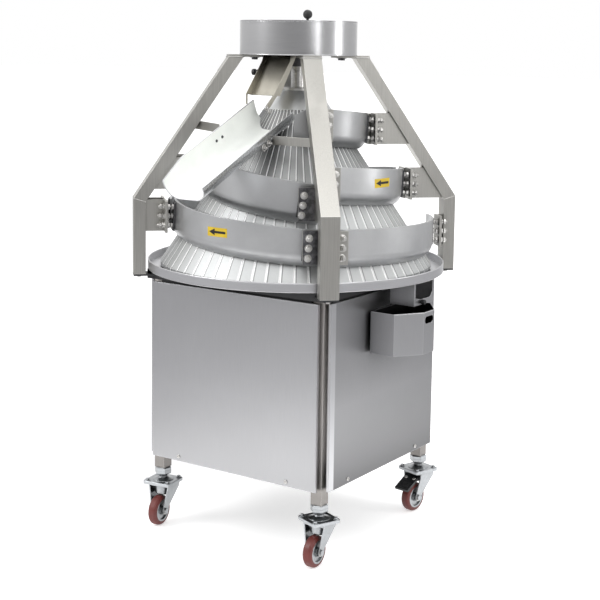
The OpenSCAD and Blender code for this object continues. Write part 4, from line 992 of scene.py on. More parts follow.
class ROUNDER_OT_casters(bpy.types.Operator):
    """Build the casters' threaded stems, nuts and plates, and dress their forks, wheels and pedals"""

    bl_idname = "rounder.casters"
    bl_label = "Casters"

    post_at = 0.3175
    plate_z = 0.141
    plate_t = 0.010
    plate_w = 0.100
    plate_corner = 0.008
    plate_chamfer = 0.001
    # Place of a plate's bolts as a share of its width, their width across the flats and height
    bolt_share = 0.385
    bolt_flats = 0.0105
    bolt_h = 0.007
    flare_r = 0.035
    flare_h = 0.011
    flare_edge = 0.0012
    stem_r = 0.015
    nut_z = 0.172
    nut_h = 0.024
    nut_flats = 0.050
    nut_turn = 0.35
    stem_top = 0.220
    trail = 0.026
    axle_z = 0.050
    wheel_half = 0.016
    king_z = 0.126
    crown_z = 0.1315
    cup_h = 0.0300
    cup_r = 0.027
    # The brake pedal's eye takes the room beside a narrower cup
    braked_cup_r = 0.0155
    braked = ("right", "rear")
    pedal_pin = (0, 0.024, 0.1225)
    pedal_slope = math.radians(28)
    pedal_l = 0.076
    pedal_half = 0.0278
    pedal_face = 0.007
    rib_pitch = 0.007
    # Side of each corner along x and y, heading of its wheel, turn of its plate
    corners = {
        "front": (1, -1, 182, -24),
        "left": (-1, -1, 188, 8),
        "right": (1, 1, 172, -18),
        "rear": (-1, 1, 160, -11),
    }

    def execute(self, context):
        bm = bmesh.new()
        for sx, sy, _, plate_turn in self.corners.values():
            place = Matrix.Translation((sx * self.post_at, sy * self.post_at, 0))
            self.add_plate(bm, place @ Matrix.Rotation(math.radians(plate_turn), 4, "Z"))
            self.add_stem(bm, place)
        made = piece("caster_mounts", bm, "zinc_plate", "frame")
        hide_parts("caster_stems")
        for name, (sx, sy, heading, _) in self.corners.items():
            self.dress_wheel(name, sx, sy, math.radians(heading))
        for name in self.braked:
            self.dress_pedal(name)
        return {"FINISHED"}

    def add_plate(self, bm, place):
        """The square plate with a bolt in each corner."""
        top = self.plate_z + self.plate_t
        outline = rounded_corners(self.plate_w, self.plate_w, self.plate_corner)
        prism(bm, outline, self.plate_z, top, place, inset=self.plate_chamfer)
        for x in (-1, 1):
            for y in (-1, 1):
                out = self.plate_w * self.bolt_share
                spot = place @ Matrix.Translation((x * out, y * out, top))
                hex_bolt(bm, spot, self.bolt_flats, self.bolt_h, x + y * 0.4)

    def add_stem(self, bm, place):
        """The threaded stem on its flared foot, the nut under the post, the king pin below the plate."""
        top = self.plate_z + self.plate_t
        flare_w = self.flare_r - self.stem_r
        stem = [(0, top), (self.flare_r, top), (self.flare_r, top + self.flare_edge)]
        for k in range(1, 9):
            t = k / 8
            stem.append((self.stem_r + flare_w * (1 - t) ** 2.2, top + self.flare_edge + self.flare_h * t))
        stem += thread(top + self.flare_h + 0.0016, self.nut_z, self.stem_r, sizes().stem_pitch)
        shank_r = self.stem_r - 0.001
        stem += [(shank_r, self.nut_z + self.nut_h), (shank_r, self.stem_top), (0, self.stem_top)]
        turned(bm, stem, place, 40)
        middle = place @ Matrix.Translation((0, 0, self.nut_z + self.nut_h / 2))
        nut(bm, middle, self.nut_flats, self.nut_h / 2, self.nut_turn)
        nut(bm, middle @ Matrix.Rotation(math.pi, 4, "X"), self.nut_flats, self.nut_h / 2, -self.nut_turn)
        z = self.king_z
        king = [
            (0, z), (0.009, z + 0.0002), (0.012, z + 0.0015), (0.012, z + 0.005), (0.007, z + 0.005),
            (0.007, self.plate_z), (0, self.plate_z),
        ]
        turned(bm, king, place, 24)

    def dress_pedal(self, name):
        """Tread ribs across the pedal's free end, and a rivet on each side of its eye."""
        sx, sy, heading, _ = self.corners[name]
        place = Matrix.Translation((sx * self.post_at, sy * self.post_at, 0))
        place = place @ Matrix.Rotation(math.radians(heading), 4, "Z") @ Matrix.Translation(self.pedal_pin)
        place = place @ Matrix.Rotation(-self.pedal_slope, 4, "X")
        half, face = self.pedal_half - 0.005, self.pedal_face
        bm = bmesh.new()
        for k in range(5):
            y = self.pedal_l - self.rib_pitch - self.rib_pitch * k
            crest = face + 0.0013
            rib = [(y - 0.0022, face), (y - 0.0012, crest), (y + 0.0012, crest), (y + 0.0022, face)]
            ends = [[bm.verts.new(place @ Vector((x, *point))) for point in rib] for x in (-half, half)]
            for a, b in zip(range(4), (1, 2, 3, 0)):
                bm.faces.new((ends[0][a], ends[0][b], ends[1][b], ends[1][a]))
            for end in ends:
                bm.faces.new(end)
        piece(f"{name}_pedal_tread", bm, "black_plastic", f"{name}_pedal", smooth=20)
        bm = bmesh.new()
        rivet = [(0.006, 0), (0.0058, 0.0012), (0.0035, 0.0024), (0, 0.0027)]
        for side in (-1, 1):
            spot = place @ Vector((side * self.pedal_half * 0.6, 0.018, face))
            turned(bm, rivet, facing(spot, place.to_3x3().col[2]), 16)
        piece(f"{name}_pedal_rivets", bm, "bright_bolt", f"{name}_pedal", smooth=60)

    def dress_wheel(self, name, sx, sy, heading):
        """Seals on the hub, beads on the tyre's sides, the axle's washers, and the cup under the fork."""
        swivel = Vector((sx * self.post_at, sy * self.post_at, 0))
        turn = Matrix.Rotation(heading, 3, "Z")
        centre = swivel + turn @ Vector((0, self.trail, self.axle_z))
        axle = turn @ Vector((1, 0, 0))
        w = self.wheel_half
        seal = [
            (0.0065, w + 0.0002), (0.0068, w + 0.0012), (0.0125, w + 0.0012), (0.0138, w + 0.0004),
            (0.0138, w - 0.001), (0.0065, w - 0.001), (0.0065, w + 0.0002),
        ]
        bead = [(0.0386, w - 0.0006), (0.0390, w + 0.0004), (0.0398, w + 0.0004), (0.0402, w - 0.0006)]
        axle_washer = [
            (0.0062, w + 0.0079), (0.0118, w + 0.0079), (0.0122, w + 0.0083), (0.0122, w + 0.0096),
            (0.0062, w + 0.0096), (0.0062, w + 0.0079),
        ]
        seals, beads, washers = bmesh.new(), bmesh.new(), bmesh.new()
        for side in (-1, 1):
            place = facing(centre, axle * side)
            turned(seals, seal, place, 32)
            turned(beads, bead, place, 64)
            turned(washers, axle_washer, place, 24)
        piece(f"{name}_seals", seals, "dark_plate", f"{name}_wheel")
        piece(f"{name}_bead", beads, "tyre_red", f"{name}_wheel", smooth=60)
        piece(f"{name}_axle_washers", washers, "bright_bolt", f"{name}_swivel")
        cup = bmesh.new()
        cup_r = self.braked_cup_r if name in self.braked else self.cup_r
        turned(cup, self.cup_section(cup_r), Matrix.Translation(swivel), 40)
        piece(f"{name}_race_cup", cup, "zinc_plate", f"{name}_swivel", smooth=50)

    def cup_section(self, r):
        """Points (radius, z) of the pressed cup that closes the ball race under the fork's crown."""
        top, wall, bend = self.crown_z, 0.0016, 0.006
        floor = top - self.cup_h
        outer = [(r, top)]
        inner = [(r - wall, top)]
        for k in range(7):
            a = math.radians(90 * k / 6)
            x, z = r - bend + bend * math.cos(a), floor + bend - bend * math.sin(a)
            outer.append((x, z))
            inner.append((x - wall * math.cos(a), z + wall * math.sin(a)))
        return [(0, floor)] + outer[::-1] + inner + [(0, floor + wall)]


class ROUNDER_OT_chute(bpy.types.Operator):
    """Line the chute, hem its edges and bolt it to its bars"""

    bl_idname = "rounder.chute"
    bl_label = "Chute"

    slope = math.radians(24)
    floor_z = 1.417
    run = 0.588 / math.cos(slope)
    half_w = 0.075
    left_r = 0.048
    right_r = 0.036
    left_h = 0.084
    right_h = 0.046
    taper_l = 0.100
    taper_h = 0.024
    sheet = 0.0025
    skin = 0.0003
    liner_rows = 28
    # How far the liner stays behind the sheet's edges, and the radius of the hem that covers them
    edge_gap = 0.0004
    hem_r = 0.0019
    hem_steps = 24
    # The room kept for the cone: its radius at the cap's top, the gap, and where the search for it begins
    room_top_r = 0.066
    cone_gap = 0.0075
    first_share = 0.2
    search_step = 0.0005
    # Places (y, z) of the bolts in the left and in the right wall
    left_bolts = ((-0.350, 1.317), (-0.3205, 1.3285))
    right_bolts = ((-0.2963, 1.2993), (-0.271, 1.3121))

    def world(self, x, s, h):
        """Place of a point that lies s down the slope, x across it and h above the floor."""
        c, d = math.cos(self.slope), math.sin(self.slope)
        return Vector((x, -s * c - h * d, self.floor_z - s * d + h * c))

    def corner(self, middle_x, radius, inset, start):
        """Points (x, h) of the round corner between a wall and the floor."""
        angles = [math.radians(start + 90 * k / 9) for k in range(10)]
        r = radius - inset
        return [(middle_x + r * math.cos(a), radius + r * math.sin(a)) for a in angles]

    def section(self, inset, left_top, right_top):
        """Points (x, h) of the trough's section from the left wall's top to the right wall's."""
        points = []
        left, right = -self.half_w + inset, self.half_w - inset
        left_mid, right_mid = -self.half_w + self.left_r, self.half_w - self.right_r
        for k in range(4):
            points.append((left, left_top + (self.left_r - left_top) * k / 4))
        points += self.corner(left_mid, self.left_r, inset, 180)
        for k in range(1, 3):
            t = k / 3
            points.append((left_mid * (1 - t) + right_mid * t, inset))
        points += self.corner(right_mid, self.right_r, inset, 270)
        for k in range(1, 4):
            points.append((right, self.right_r + (right_top - self.right_r) * k / 3))
        return points

    def left_top(self, s):
        """Height of the left wall, which tapers towards the lip."""
        return self.left_h - self.taper_h * max(0.0, (s - self.run + self.taper_l) / self.taper_l)

    def start(self, x, h):
        """Distance down the slope at which a point of the section leaves the room kept for the cone."""
        low, high = CONE_LOW.z + ROUNDER_OT_cone.foot_h, CAP_HIGH.z
        s = self.run * self.first_share
        while s < self.run:
            p = self.world(x, s, h)
            room = CONE_R + (self.room_top_r - CONE_R) * (p.z - low) / (high - low) + self.cone_gap
            if p.z > high or math.hypot(p.x, p.y) > room:
                break
            s += self.search_step
        return s

    def execute(self, context):
        inset = self.sheet + self.skin
        rows, gap = self.liner_rows, self.edge_gap
        starts = [self.start(x, h) for x, h in self.section(inset, self.left_h, self.right_h)]
        bm = bmesh.new()
        grid = []
        for k in range(rows + 1):
            line = []
            for j, begin in enumerate(starts):
                s = begin + (self.run - gap - begin) * k / rows
                x, h = self.section(inset, self.left_top(s) - gap, self.right_h - gap)[j]
                line.append(bm.verts.new(self.world(x, s, h)))
            grid.append(line)
        for a, b in zip(grid, grid[1:]):
            for j in range(len(a) - 1):
                bm.faces.new((a[j], a[j + 1], b[j + 1], b[j]))
        piece("chute_liner", bm, "chute_coat", "frame", smooth=60)
        self.hem(starts)
        self.bolts()
        return {"FINISHED"}

    def hem(self, starts):
        """Rounded edges along both walls and round the lip."""
        bm = bmesh.new()
        mid = self.sheet / 2
        left, right = [], []
        for k in range(self.hem_steps + 1):
            s = starts[0] + (self.run - starts[0]) * k / self.hem_steps
            left.append(self.world(-self.half_w + mid, s, self.left_top(s)))
            s = starts[-1] + (self.run - starts[-1]) * k / self.hem_steps
            right.append(self.world(self.half_w - mid, s, self.right_h))
        edge = self.section(mid, self.left_top(self.run), self.right_h)
        lip = [self.world(x, self.run, h) for x, h in edge]
        for path in (left, right, lip):
            rod(bm, path, self.hem_r, 8)
        piece("chute_hem", bm, "rim_steel", "frame", smooth=60)

    def bolts(self):
        """Round heads inside the trough, dark nuts outside its left wall, bright bolts in its right."""
        inner = self.half_w - self.sheet - self.skin
        bm = bmesh.new()
        for y, z in self.left_bolts:
            round_screw(bm, facing((-inner, y, z), (1, 0, 0)), 0.0048, 0.003)
            outer = facing((-self.half_w, y, z), (-1, 0, 0))
            washer(bm, outer, 0.0085, 0.0014)
            nut(bm, outer @ Matrix.Translation((0, 0, 0.0014)), 0.0115, 0.0055, 0.4)
        piece("chute_left_bolts", bm, "dark_plate", "frame")
        bm = bmesh.new()
        head, tip = 0.0078, 0.0135
        for y, z in self.right_bolts:
            outer = facing((self.half_w, y, z), (1, 0, 0))
            hex_bolt(bm, outer, 0.0125, head, 0.2)
            turned(bm, [(0, head)] + thread(head, tip, 0.0035, 0.0014) + [(0, tip)], outer, 10)
            round_screw(bm, facing((inner, y, z), (-1, 0, 0)), 0.0055, 0.003)
        piece("chute_right_bolts", bm, "bright_bolt", "frame")


class ROUNDER_OT_hood(bpy.types.Operator):
    """Bolt the flour hood's tail and fit its knob"""

    bl_idname = "rounder.hood"
    bl_label = "Flour hood"

    knob_y = -0.150
    knob_z = 1.533
    # Places (y, z) of the bolts in the tail
    tail_bolts = ((-0.2568, 1.4232), (-0.2418, 1.4112))

    def execute(self, context):
        low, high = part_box("flour_hood")
        bm = bmesh.new()
        place = facing((low.x, self.knob_y, self.knob_z), (-1, 0, 0))
        knob = [
            (0, 0.023), (0.0085, 0.0226), (0.0105, 0.0205), (0.0105, 0.0125), (0.0085, 0.0105),
            (0.0045, 0.0095), (0.0045, 0.002), (0.0095, 0.0018), (0.0095, 0),
        ]
        turned(bm, knob, place, 20)
        piece("hood_knob", bm, "black_plastic", "frame")
        bm = bmesh.new()
        for y, z in self.tail_bolts:
            hex_bolt(bm, facing((high.x, y, z), (1, 0, 0)), 0.009, 0.0055, 0.3)
        piece("hood_tail_bolts", bm, "bright_bolt", "frame")
        return {"FINISHED"}


class ROUNDER_OT_stickers(bpy.types.Operator):
    """Lay the two yellow arrow stickers on the track"""

    bl_idname = "rounder.stickers"
    bl_label = "Arrow stickers"

    # A point near each sticker's middle, and the segments under it
    places = {
        "lower": ((-0.001, -0.425, 1.040), ("lower_track_1", "lower_track_2")),
        "middle": ((0.350, -0.010, 1.185), ("middle_track_1", "middle_track_4")),
    }
    sticker_lift = 0.0003
    arrow_lift = 0.0005
    # Where the rays towards the axis start, outside the track, and how far they look
    ray_start = 0.15
    ray_reach = 0.6

    def execute(self, context):
        sticker, arrow = self.outline_grid(), self.arrow_grids()
        for name, (spot, nodes) in self.places.items():
            skins = [surface(node) for node in nodes]
            self.patch(f"{name}_sticker", spot, skins, sticker, self.sticker_lift, "arrow_yellow")
            self.patch(f"{name}_arrow", spot, skins, arrow, self.arrow_lift, "print_black")
        return {"FINISHED"}

    def outline_grid(self):
        """The sticker as one grid of points across and up."""
        s = sizes()
        columns, rows = 14, 5
        across = [s.sticker_w * (i / columns - 0.5) for i in range(columns + 1)]
        upward = [s.sticker_h * (j / rows - 0.5) for j in range(rows + 1)]
        return [[[(x, y) for x in across] for y in upward]]

    def arrow_grids(self):
        """The shaft as one grid and the head as another that narrows to its tip, pointing left."""
        s = sizes()
        w, h = s.sticker_w, s.sticker_h
        sides = (-1, 0, 1)
        along = [w * (-0.12 + 0.54 * i / 8) for i in range(9)]
        shaft = [[(x, h * 0.13 * side) for x in along] for side in sides]
        spread = [(w * (-0.42 + 0.30 * i / 5), i / 5) for i in range(6)]
        head = [[(x, h * 0.36 * side * share) for x, share in spread] for side in sides]
        return [shaft, head]

    def patch(self, name, spot, skins, grids, lift, finish):
        """Drops flat grids on the track along rays towards the axis."""
        spot = Vector(spot)
        outward = Vector((spot.x, spot.y, 0)).normalized()
        side = Vector((-outward.y, outward.x, 0))
        bm = bmesh.new()
        for grid in grids:
            lines = []
            for row in grid:
                line = []
                for across, up in row:
                    start = spot + outward * self.ray_start + side * across + Vector((0, 0, up))
                    hits = [skin.ray_cast(start, -outward, self.ray_reach) for skin in skins]
                    hits = [hit for hit in hits if hit[0] is not None]
                    if not hits:
                        raise RuntimeError(f"{name}: no track under the sticker")
                    point, normal, _, _ = min(hits, key=lambda hit: hit[3])
                    lifted = (normal if normal.dot(outward) > 0 else -normal) * lift
                    line.append(bm.verts.new(point + lifted))
                lines.append(line)
            for a, b in zip(lines, lines[1:]):
                for k in range(len(a) - 1):
                    bm.faces.new((a[k], a[k + 1], b[k + 1], b[k]))
        bmesh.ops.remove_doubles(bm, verts=bm.verts, dist=1e-6)
        piece(name, bm, finish, "frame", smooth=60)


class ROUNDER_OT_drum(bpy.types.Operator):
    """Bead the drum's edges, seam its shell and fit the lid's small parts"""

    bl_idname = "rounder.drum"
    bl_label = "Flour drum"

    seam_turn = math.radians(100)
    lid_turn = math.radians(-45)
    lid_t = 0.003
    knob_reach = 0.150
    hinge_half = 0.090
    leaf_half = 0.017

    def execute(self, context):
        r = DRUM_HIGH.x
        low, high = DRUM_LOW.z, DRUM_HIGH.z
        foot_bead = [
            (r - 0.002, low - 0.0006), (r + 0.0006, low - 0.0006), (r + 0.0012, low + 0.0004),
            (r + 0.0012, low + 0.0022), (r + 0.0002, low + 0.0032),
        ]
        top_bead = [
            (r + 0.0001, high - 0.0042), (r + 0.0009, high - 0.0036), (r + 0.0009, high - 0.0012),
            (r - 0.0006, high - 0.0002),
        ]
        bm = bmesh.new()
        turned(bm, foot_bead, segments=128)
        turned(bm, top_bead, segments=128)
        piece("drum_beads", bm, "drum_steel", "frame", smooth=50)
        bm = bmesh.new()
        back = Vector((math.cos(self.seam_turn), math.sin(self.seam_turn), 0)) * r
        weld(bm, back + Vector((0, 0, low + 0.004)), back + Vector((0, 0, high - 0.005)))
        piece("drum_seam", bm, "bright_bolt", "frame", smooth=60)
        self.knob_washer()
        self.lid_rivets()
        return {"FINISHED"}

    def knob_washer(self):
        """The washer between the lid's flap and its knob."""
        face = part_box("lid_fixed")[0].z + self.lid_t + 0.0003
        spot = Vector((math.cos(self.lid_turn), math.sin(self.lid_turn), 0)) * self.knob_reach
        profile = [
            (0.0046, face), (0.011, face), (0.0115, face + 0.0005), (0.0108, face + 0.0015),
            (0.0046, face + 0.0016),
        ]
        bm = bmesh.new()
        turned(bm, profile, Matrix.Translation(spot), 28)
        piece("knob_washer", bm, "bright_bolt", "lid")

    def lid_rivets(self):
        """Rivets that hold the hinge's leaves, three on each half of the lid."""
        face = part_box("lid_fixed")[0].z + self.lid_t
        turn = Matrix.Rotation(self.lid_turn, 4, "Z")
        rivet = [(0.004, 0), (0.0038, 0.0009), (0.0022, 0.0017), (0, 0.0019)]
        for name, side, lift in (("fixed", -1, 0.0), ("flap", 1, 0.0003)):
            bm = bmesh.new()
            for y in (-0.8, 0.0, 0.8):
                spot = Matrix.Translation((side * self.leaf_half, y * self.hinge_half, face + lift))
                turned(bm, rivet, turn @ spot, 16)
            body = "lid" if side > 0 else "frame"
            piece(f"hinge_rivets_{name}", bm, "bright_bolt", body, smooth=60)


class ROUNDER_OT_tray(bpy.types.Operator):
    """Roll the tray's rim and bead its foot"""

    bl_idname = "rounder.tray"
    bl_label = "Tray rim"

    sheet = 0.004
    bead_r = 0.0026
    bead_lift = 0.0006

    def execute(self, context):
        r, low, high = TRAY_HIGH.x, TRAY_LOW.z, TRAY_HIGH.z
        mid = r - self.sheet / 2
        rim = []
        for k in range(13):
            a = math.radians(-30 + 240 * k / 12)
            rim.append((mid + self.bead_r * math.cos(a), high + self.bead_lift + self.bead_r * math.sin(a)))
        foot = [
            (r - 0.002, low - 0.0004), (r - 0.0004, low - 0.0004), (r + 0.0004, low + 0.0006),
            (r + 0.0003, low + 0.0022),
        ]
        bm = bmesh.new()
        turned(bm, rim, segments=192)
        turned(bm, foot, segments=192)
        piece("tray_bead", bm, "rim_steel", "frame", smooth=60)
        return {"FINISHED"}


class ROUNDER_OT_legs(bpy.types.Operator):
    """Weld the legs' mitres and plates, and bolt them under the drum"""

    bl_idname = "rounder.legs"
    bl_label = "Leg welds and bolts"

    # Degrees around the axis: front, left, right and rear
    angles = (-45, -135, 45, 135)
    inner_r = 0.510
    outer_r = 0.550
    half_w = 0.030
    mitre_z = 1.110
    mitre_rise = 0.0061
    mitre_bead_r = 0.0011
    mitre_step = 0.0014
    top_z = 1.582
    top_mid_r = 0.2135
    lean_half = 0.0241
    # Bolts through the plates: distance from the axis, half their spacing, width across the flats, height
    bolt_at = 0.1475
    bolt_half = 0.017
    bolt_flats = 0.014
    bolt_h = 0.0085

    def execute(self, context):
        welds, bolts = bmesh.new(), bmesh.new()
        outer, inner, w = self.outer_r, self.inner_r, self.half_w
        high, low = self.mitre_z + self.mitre_rise, self.mitre_z - self.mitre_rise
        mitre = [(outer, -w, high), (outer, w, high), (inner, w, low), (inner, -w, low), (outer, -w, high)]
        far, near, z = self.top_mid_r + self.lean_half, self.top_mid_r - self.lean_half, self.top_z
        top = [(far, -w, z), (far, w, z), (near, w, z), (near, -w, z), (far, -w, z)]
        for angle in self.angles:
            turn = Matrix.Rotation(math.radians(angle), 4, "Z")
            for a, b in zip(mitre, mitre[1:]):
                path = between(turn @ Vector(a), turn @ Vector(b), self.mitre_step)
                rod(welds, path, self.mitre_bead_r, 6, swell=0.2)
            for a, b in zip(top, top[1:]):
                weld(welds, turn @ Vector(a), turn @ Vector(b))
            for y in (-self.bolt_half, self.bolt_half):
                spot = turn @ Vector((self.bolt_at, y, z))
                place = facing(spot, (0, 0, -1), turn @ Vector((1, 0, 0)))
                hex_bolt(bolts, place, self.bolt_flats, self.bolt_h)
        piece("leg_welds", welds, "bright_bolt", "frame", smooth=60)
        # Painted shade: the bolts under the plates take the dark plates' finish, as they sit in the shadow
        # under the drum
        piece("leg_plate_bolts", bolts, "dark_plate", "frame")
        return {"FINISHED"}


class ROUNDER_OT_bin(bpy.types.Operator):
    """Hem the bin's rim and add the spout's thumb bolt"""

    bl_idname = "rounder.bin"
    bl_label = "Catch bin and spout"

    side = 0.086
    corner = 0.060
    front_w = 0.070
    sheet = 0.002
    hem_r = 0.0016
    fold_r = 0.0011
    foot_gap = 0.001
    # The thumb bolt's place along y and above the spout's lower edge
    thumb_y = 0.020
    thumb_up = 0.010

    def execute(self, context):
        low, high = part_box("catch_bin")
        mid_y = (low.y + high.y) / 2
        half = (high.y - low.y) / 2
        back = high.x - self.side - self.corner
        inset = self.sheet / 2
        plan = [
            (back + inset, -half + inset), (back + self.side, -half + inset),
            (high.x - inset, -self.front_w / 2), (high.x - inset, self.front_w / 2),
            (back + self.side, half - inset), (back + inset, half - inset),
        ]
        bm = bmesh.new()
        for a, b in zip(plan, plan[1:]):
            path = between((a[0], mid_y + a[1], high.z), (b[0], mid_y + b[1], high.z), 0.02)
            rod(bm, path, self.hem_r, 8)
        for x, y in plan[1:5]:
            foot = Vector((x, mid_y + y, low.z + self.foot_gap))
            rod(bm, [foot, foot + Vector((0, 0, high.z - low.z - self.foot_gap))], self.fold_r, 8)
        piece("bin_hem", bm, "rim_steel", "bin", smooth=60)
        spout_low, spout_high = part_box("flour_spout")
        thumb_bolt = [
            (0, 0.016), (0.0068, 0.0158), (0.0078, 0.0145), (0.0078, 0.004), (0.005, 0.003), (0.005, 0),
            (0, 0),
        ]
        place = facing((spout_high.x, self.thumb_y, spout_low.z + self.thumb_up), (1, 0, 0))
        bm = bmesh.new()
        turned(bm, thumb_bolt, place, 14)
        piece("spout_thumb_bolt", bm, "black_plastic", "frame")
        return {"FINISHED"}


class ROUNDER_OT_switch(bpy.types.Operator):
    """Seam the switch box, screw its cover and ring its buttons"""

    bl_idname = "rounder.switch"
    bl_label = "Switch box"

    collar_h = 0.005
    pitch = 0.060
    cover_t = 0.016
    seam_r = 0.0009
    screw_in = 0.009
    gland_back = 0.010

    def execute(self, context):
        low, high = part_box("switch_box")
        mid_z = (low.z + high.z) / 2
        face = low.x + self.collar_h
        outline = [(low.y, low.z), (high.y, low.z), (high.y, high.z), (low.y, high.z), (low.y, low.z)]
        seam = [(face + self.cover_t, y, z) for y, z in outline]
        bm = bmesh.new()
        for a, b in zip(seam, seam[1:]):
            rod(bm, between(a, b, 0.02), self.seam_r, 6)
        gland = [
            (0, 0.018), (0.006, 0.018), (0.0065, 0.016), (0.010, 0.014), (0.011, 0.012), (0.011, 0.004),
            (0.0125, 0.003), (0.0125, 0), (0, 0),
        ]
        turned(bm, gland, facing(((low.x + high.x) / 2 + self.gland_back, 0, low.z), (0, 0, -1)), 16)
        piece("switch_seam", bm, "black_plastic", "frame", smooth=45)
        bm = bmesh.new()
        for y in (low.y + self.screw_in, high.y - self.screw_in):
            for z in (low.z + self.screw_in, high.z - self.screw_in):
                round_screw(bm, facing((face, y, z), (-1, 0, 0)), 0.0042, 0.0022)
        ring = [(0.0163, 0.0), (0.0165, 0.0010), (0.0208, 0.0010), (0.0216, 0.0002), (0.0216, 0.0)]
        for z in (mid_z - self.pitch / 2, mid_z + self.pitch / 2):
            turned(bm, ring, facing((low.x, 0, z), (-1, 0, 0)), 40)
        piece("switch_screws", bm, "bright_bolt", "frame")
        button_face = [(0.0149, 0.0), (0.0143, 0.0011), (0.0118, 0.0013), (0.0112, 0.0005), (0, 0.0003)]
        buttons = (("start_button", "start", "green_plastic"), ("stop_button", "stop", "red_plastic"))
        for node, body, finish in buttons:
            spot_low, spot_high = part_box(node)
            z = (spot_low.z + spot_high.z) / 2
            bm = bmesh.new()
            turned(bm, button_face, facing((spot_low.x, 0, z), (-1, 0, 0)), 40)
            piece(f"{node}_face", bm, finish, body, smooth=40)
        return {"FINISHED"}


class ROUNDER_OT_bearing(bpy.types.Operator):
    """Bolt the bearing under the drum and fit its grease nipple"""

    bl_idname = "rounder.bearing"
    bl_label = "Upper bearing"

    bolt_r = 0.0395
    bolt_flats = 0.0085
    bolt_h = 0.006
    flange_t = 0.009
    # The nipple's place, its height above the bearing's lower face, and its direction
    nipple_x = 0.033
    nipple_y = -0.004
    nipple_up = 0.014
    nipple_aim = (1, -0.2, 0)

    def execute(self, context):
        low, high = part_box("upper_bearing")
        bm = bmesh.new()
        for k in range(4):
            spot = polar(self.bolt_r, math.radians(45 + 90 * k), high.z - self.flange_t)
            hex_bolt(bm, facing(spot, (0, 0, -1), (1, 0, 0)), self.bolt_flats, self.bolt_h)
        nipple = [
            (0.004, 0), (0.004, 0.003), (0.0025, 0.004), (0.0025, 0.007), (0.0034, 0.008), (0.002, 0.011),
            (0, 0.0112),
        ]
        place = facing((self.nipple_x, self.nipple_y, low.z + self.nipple_up), self.nipple_aim)
        turned(bm, nipple, place, 10)
        piece("bearing_bolts", bm, "bright_bolt", "frame")
        return {"FINISHED"}


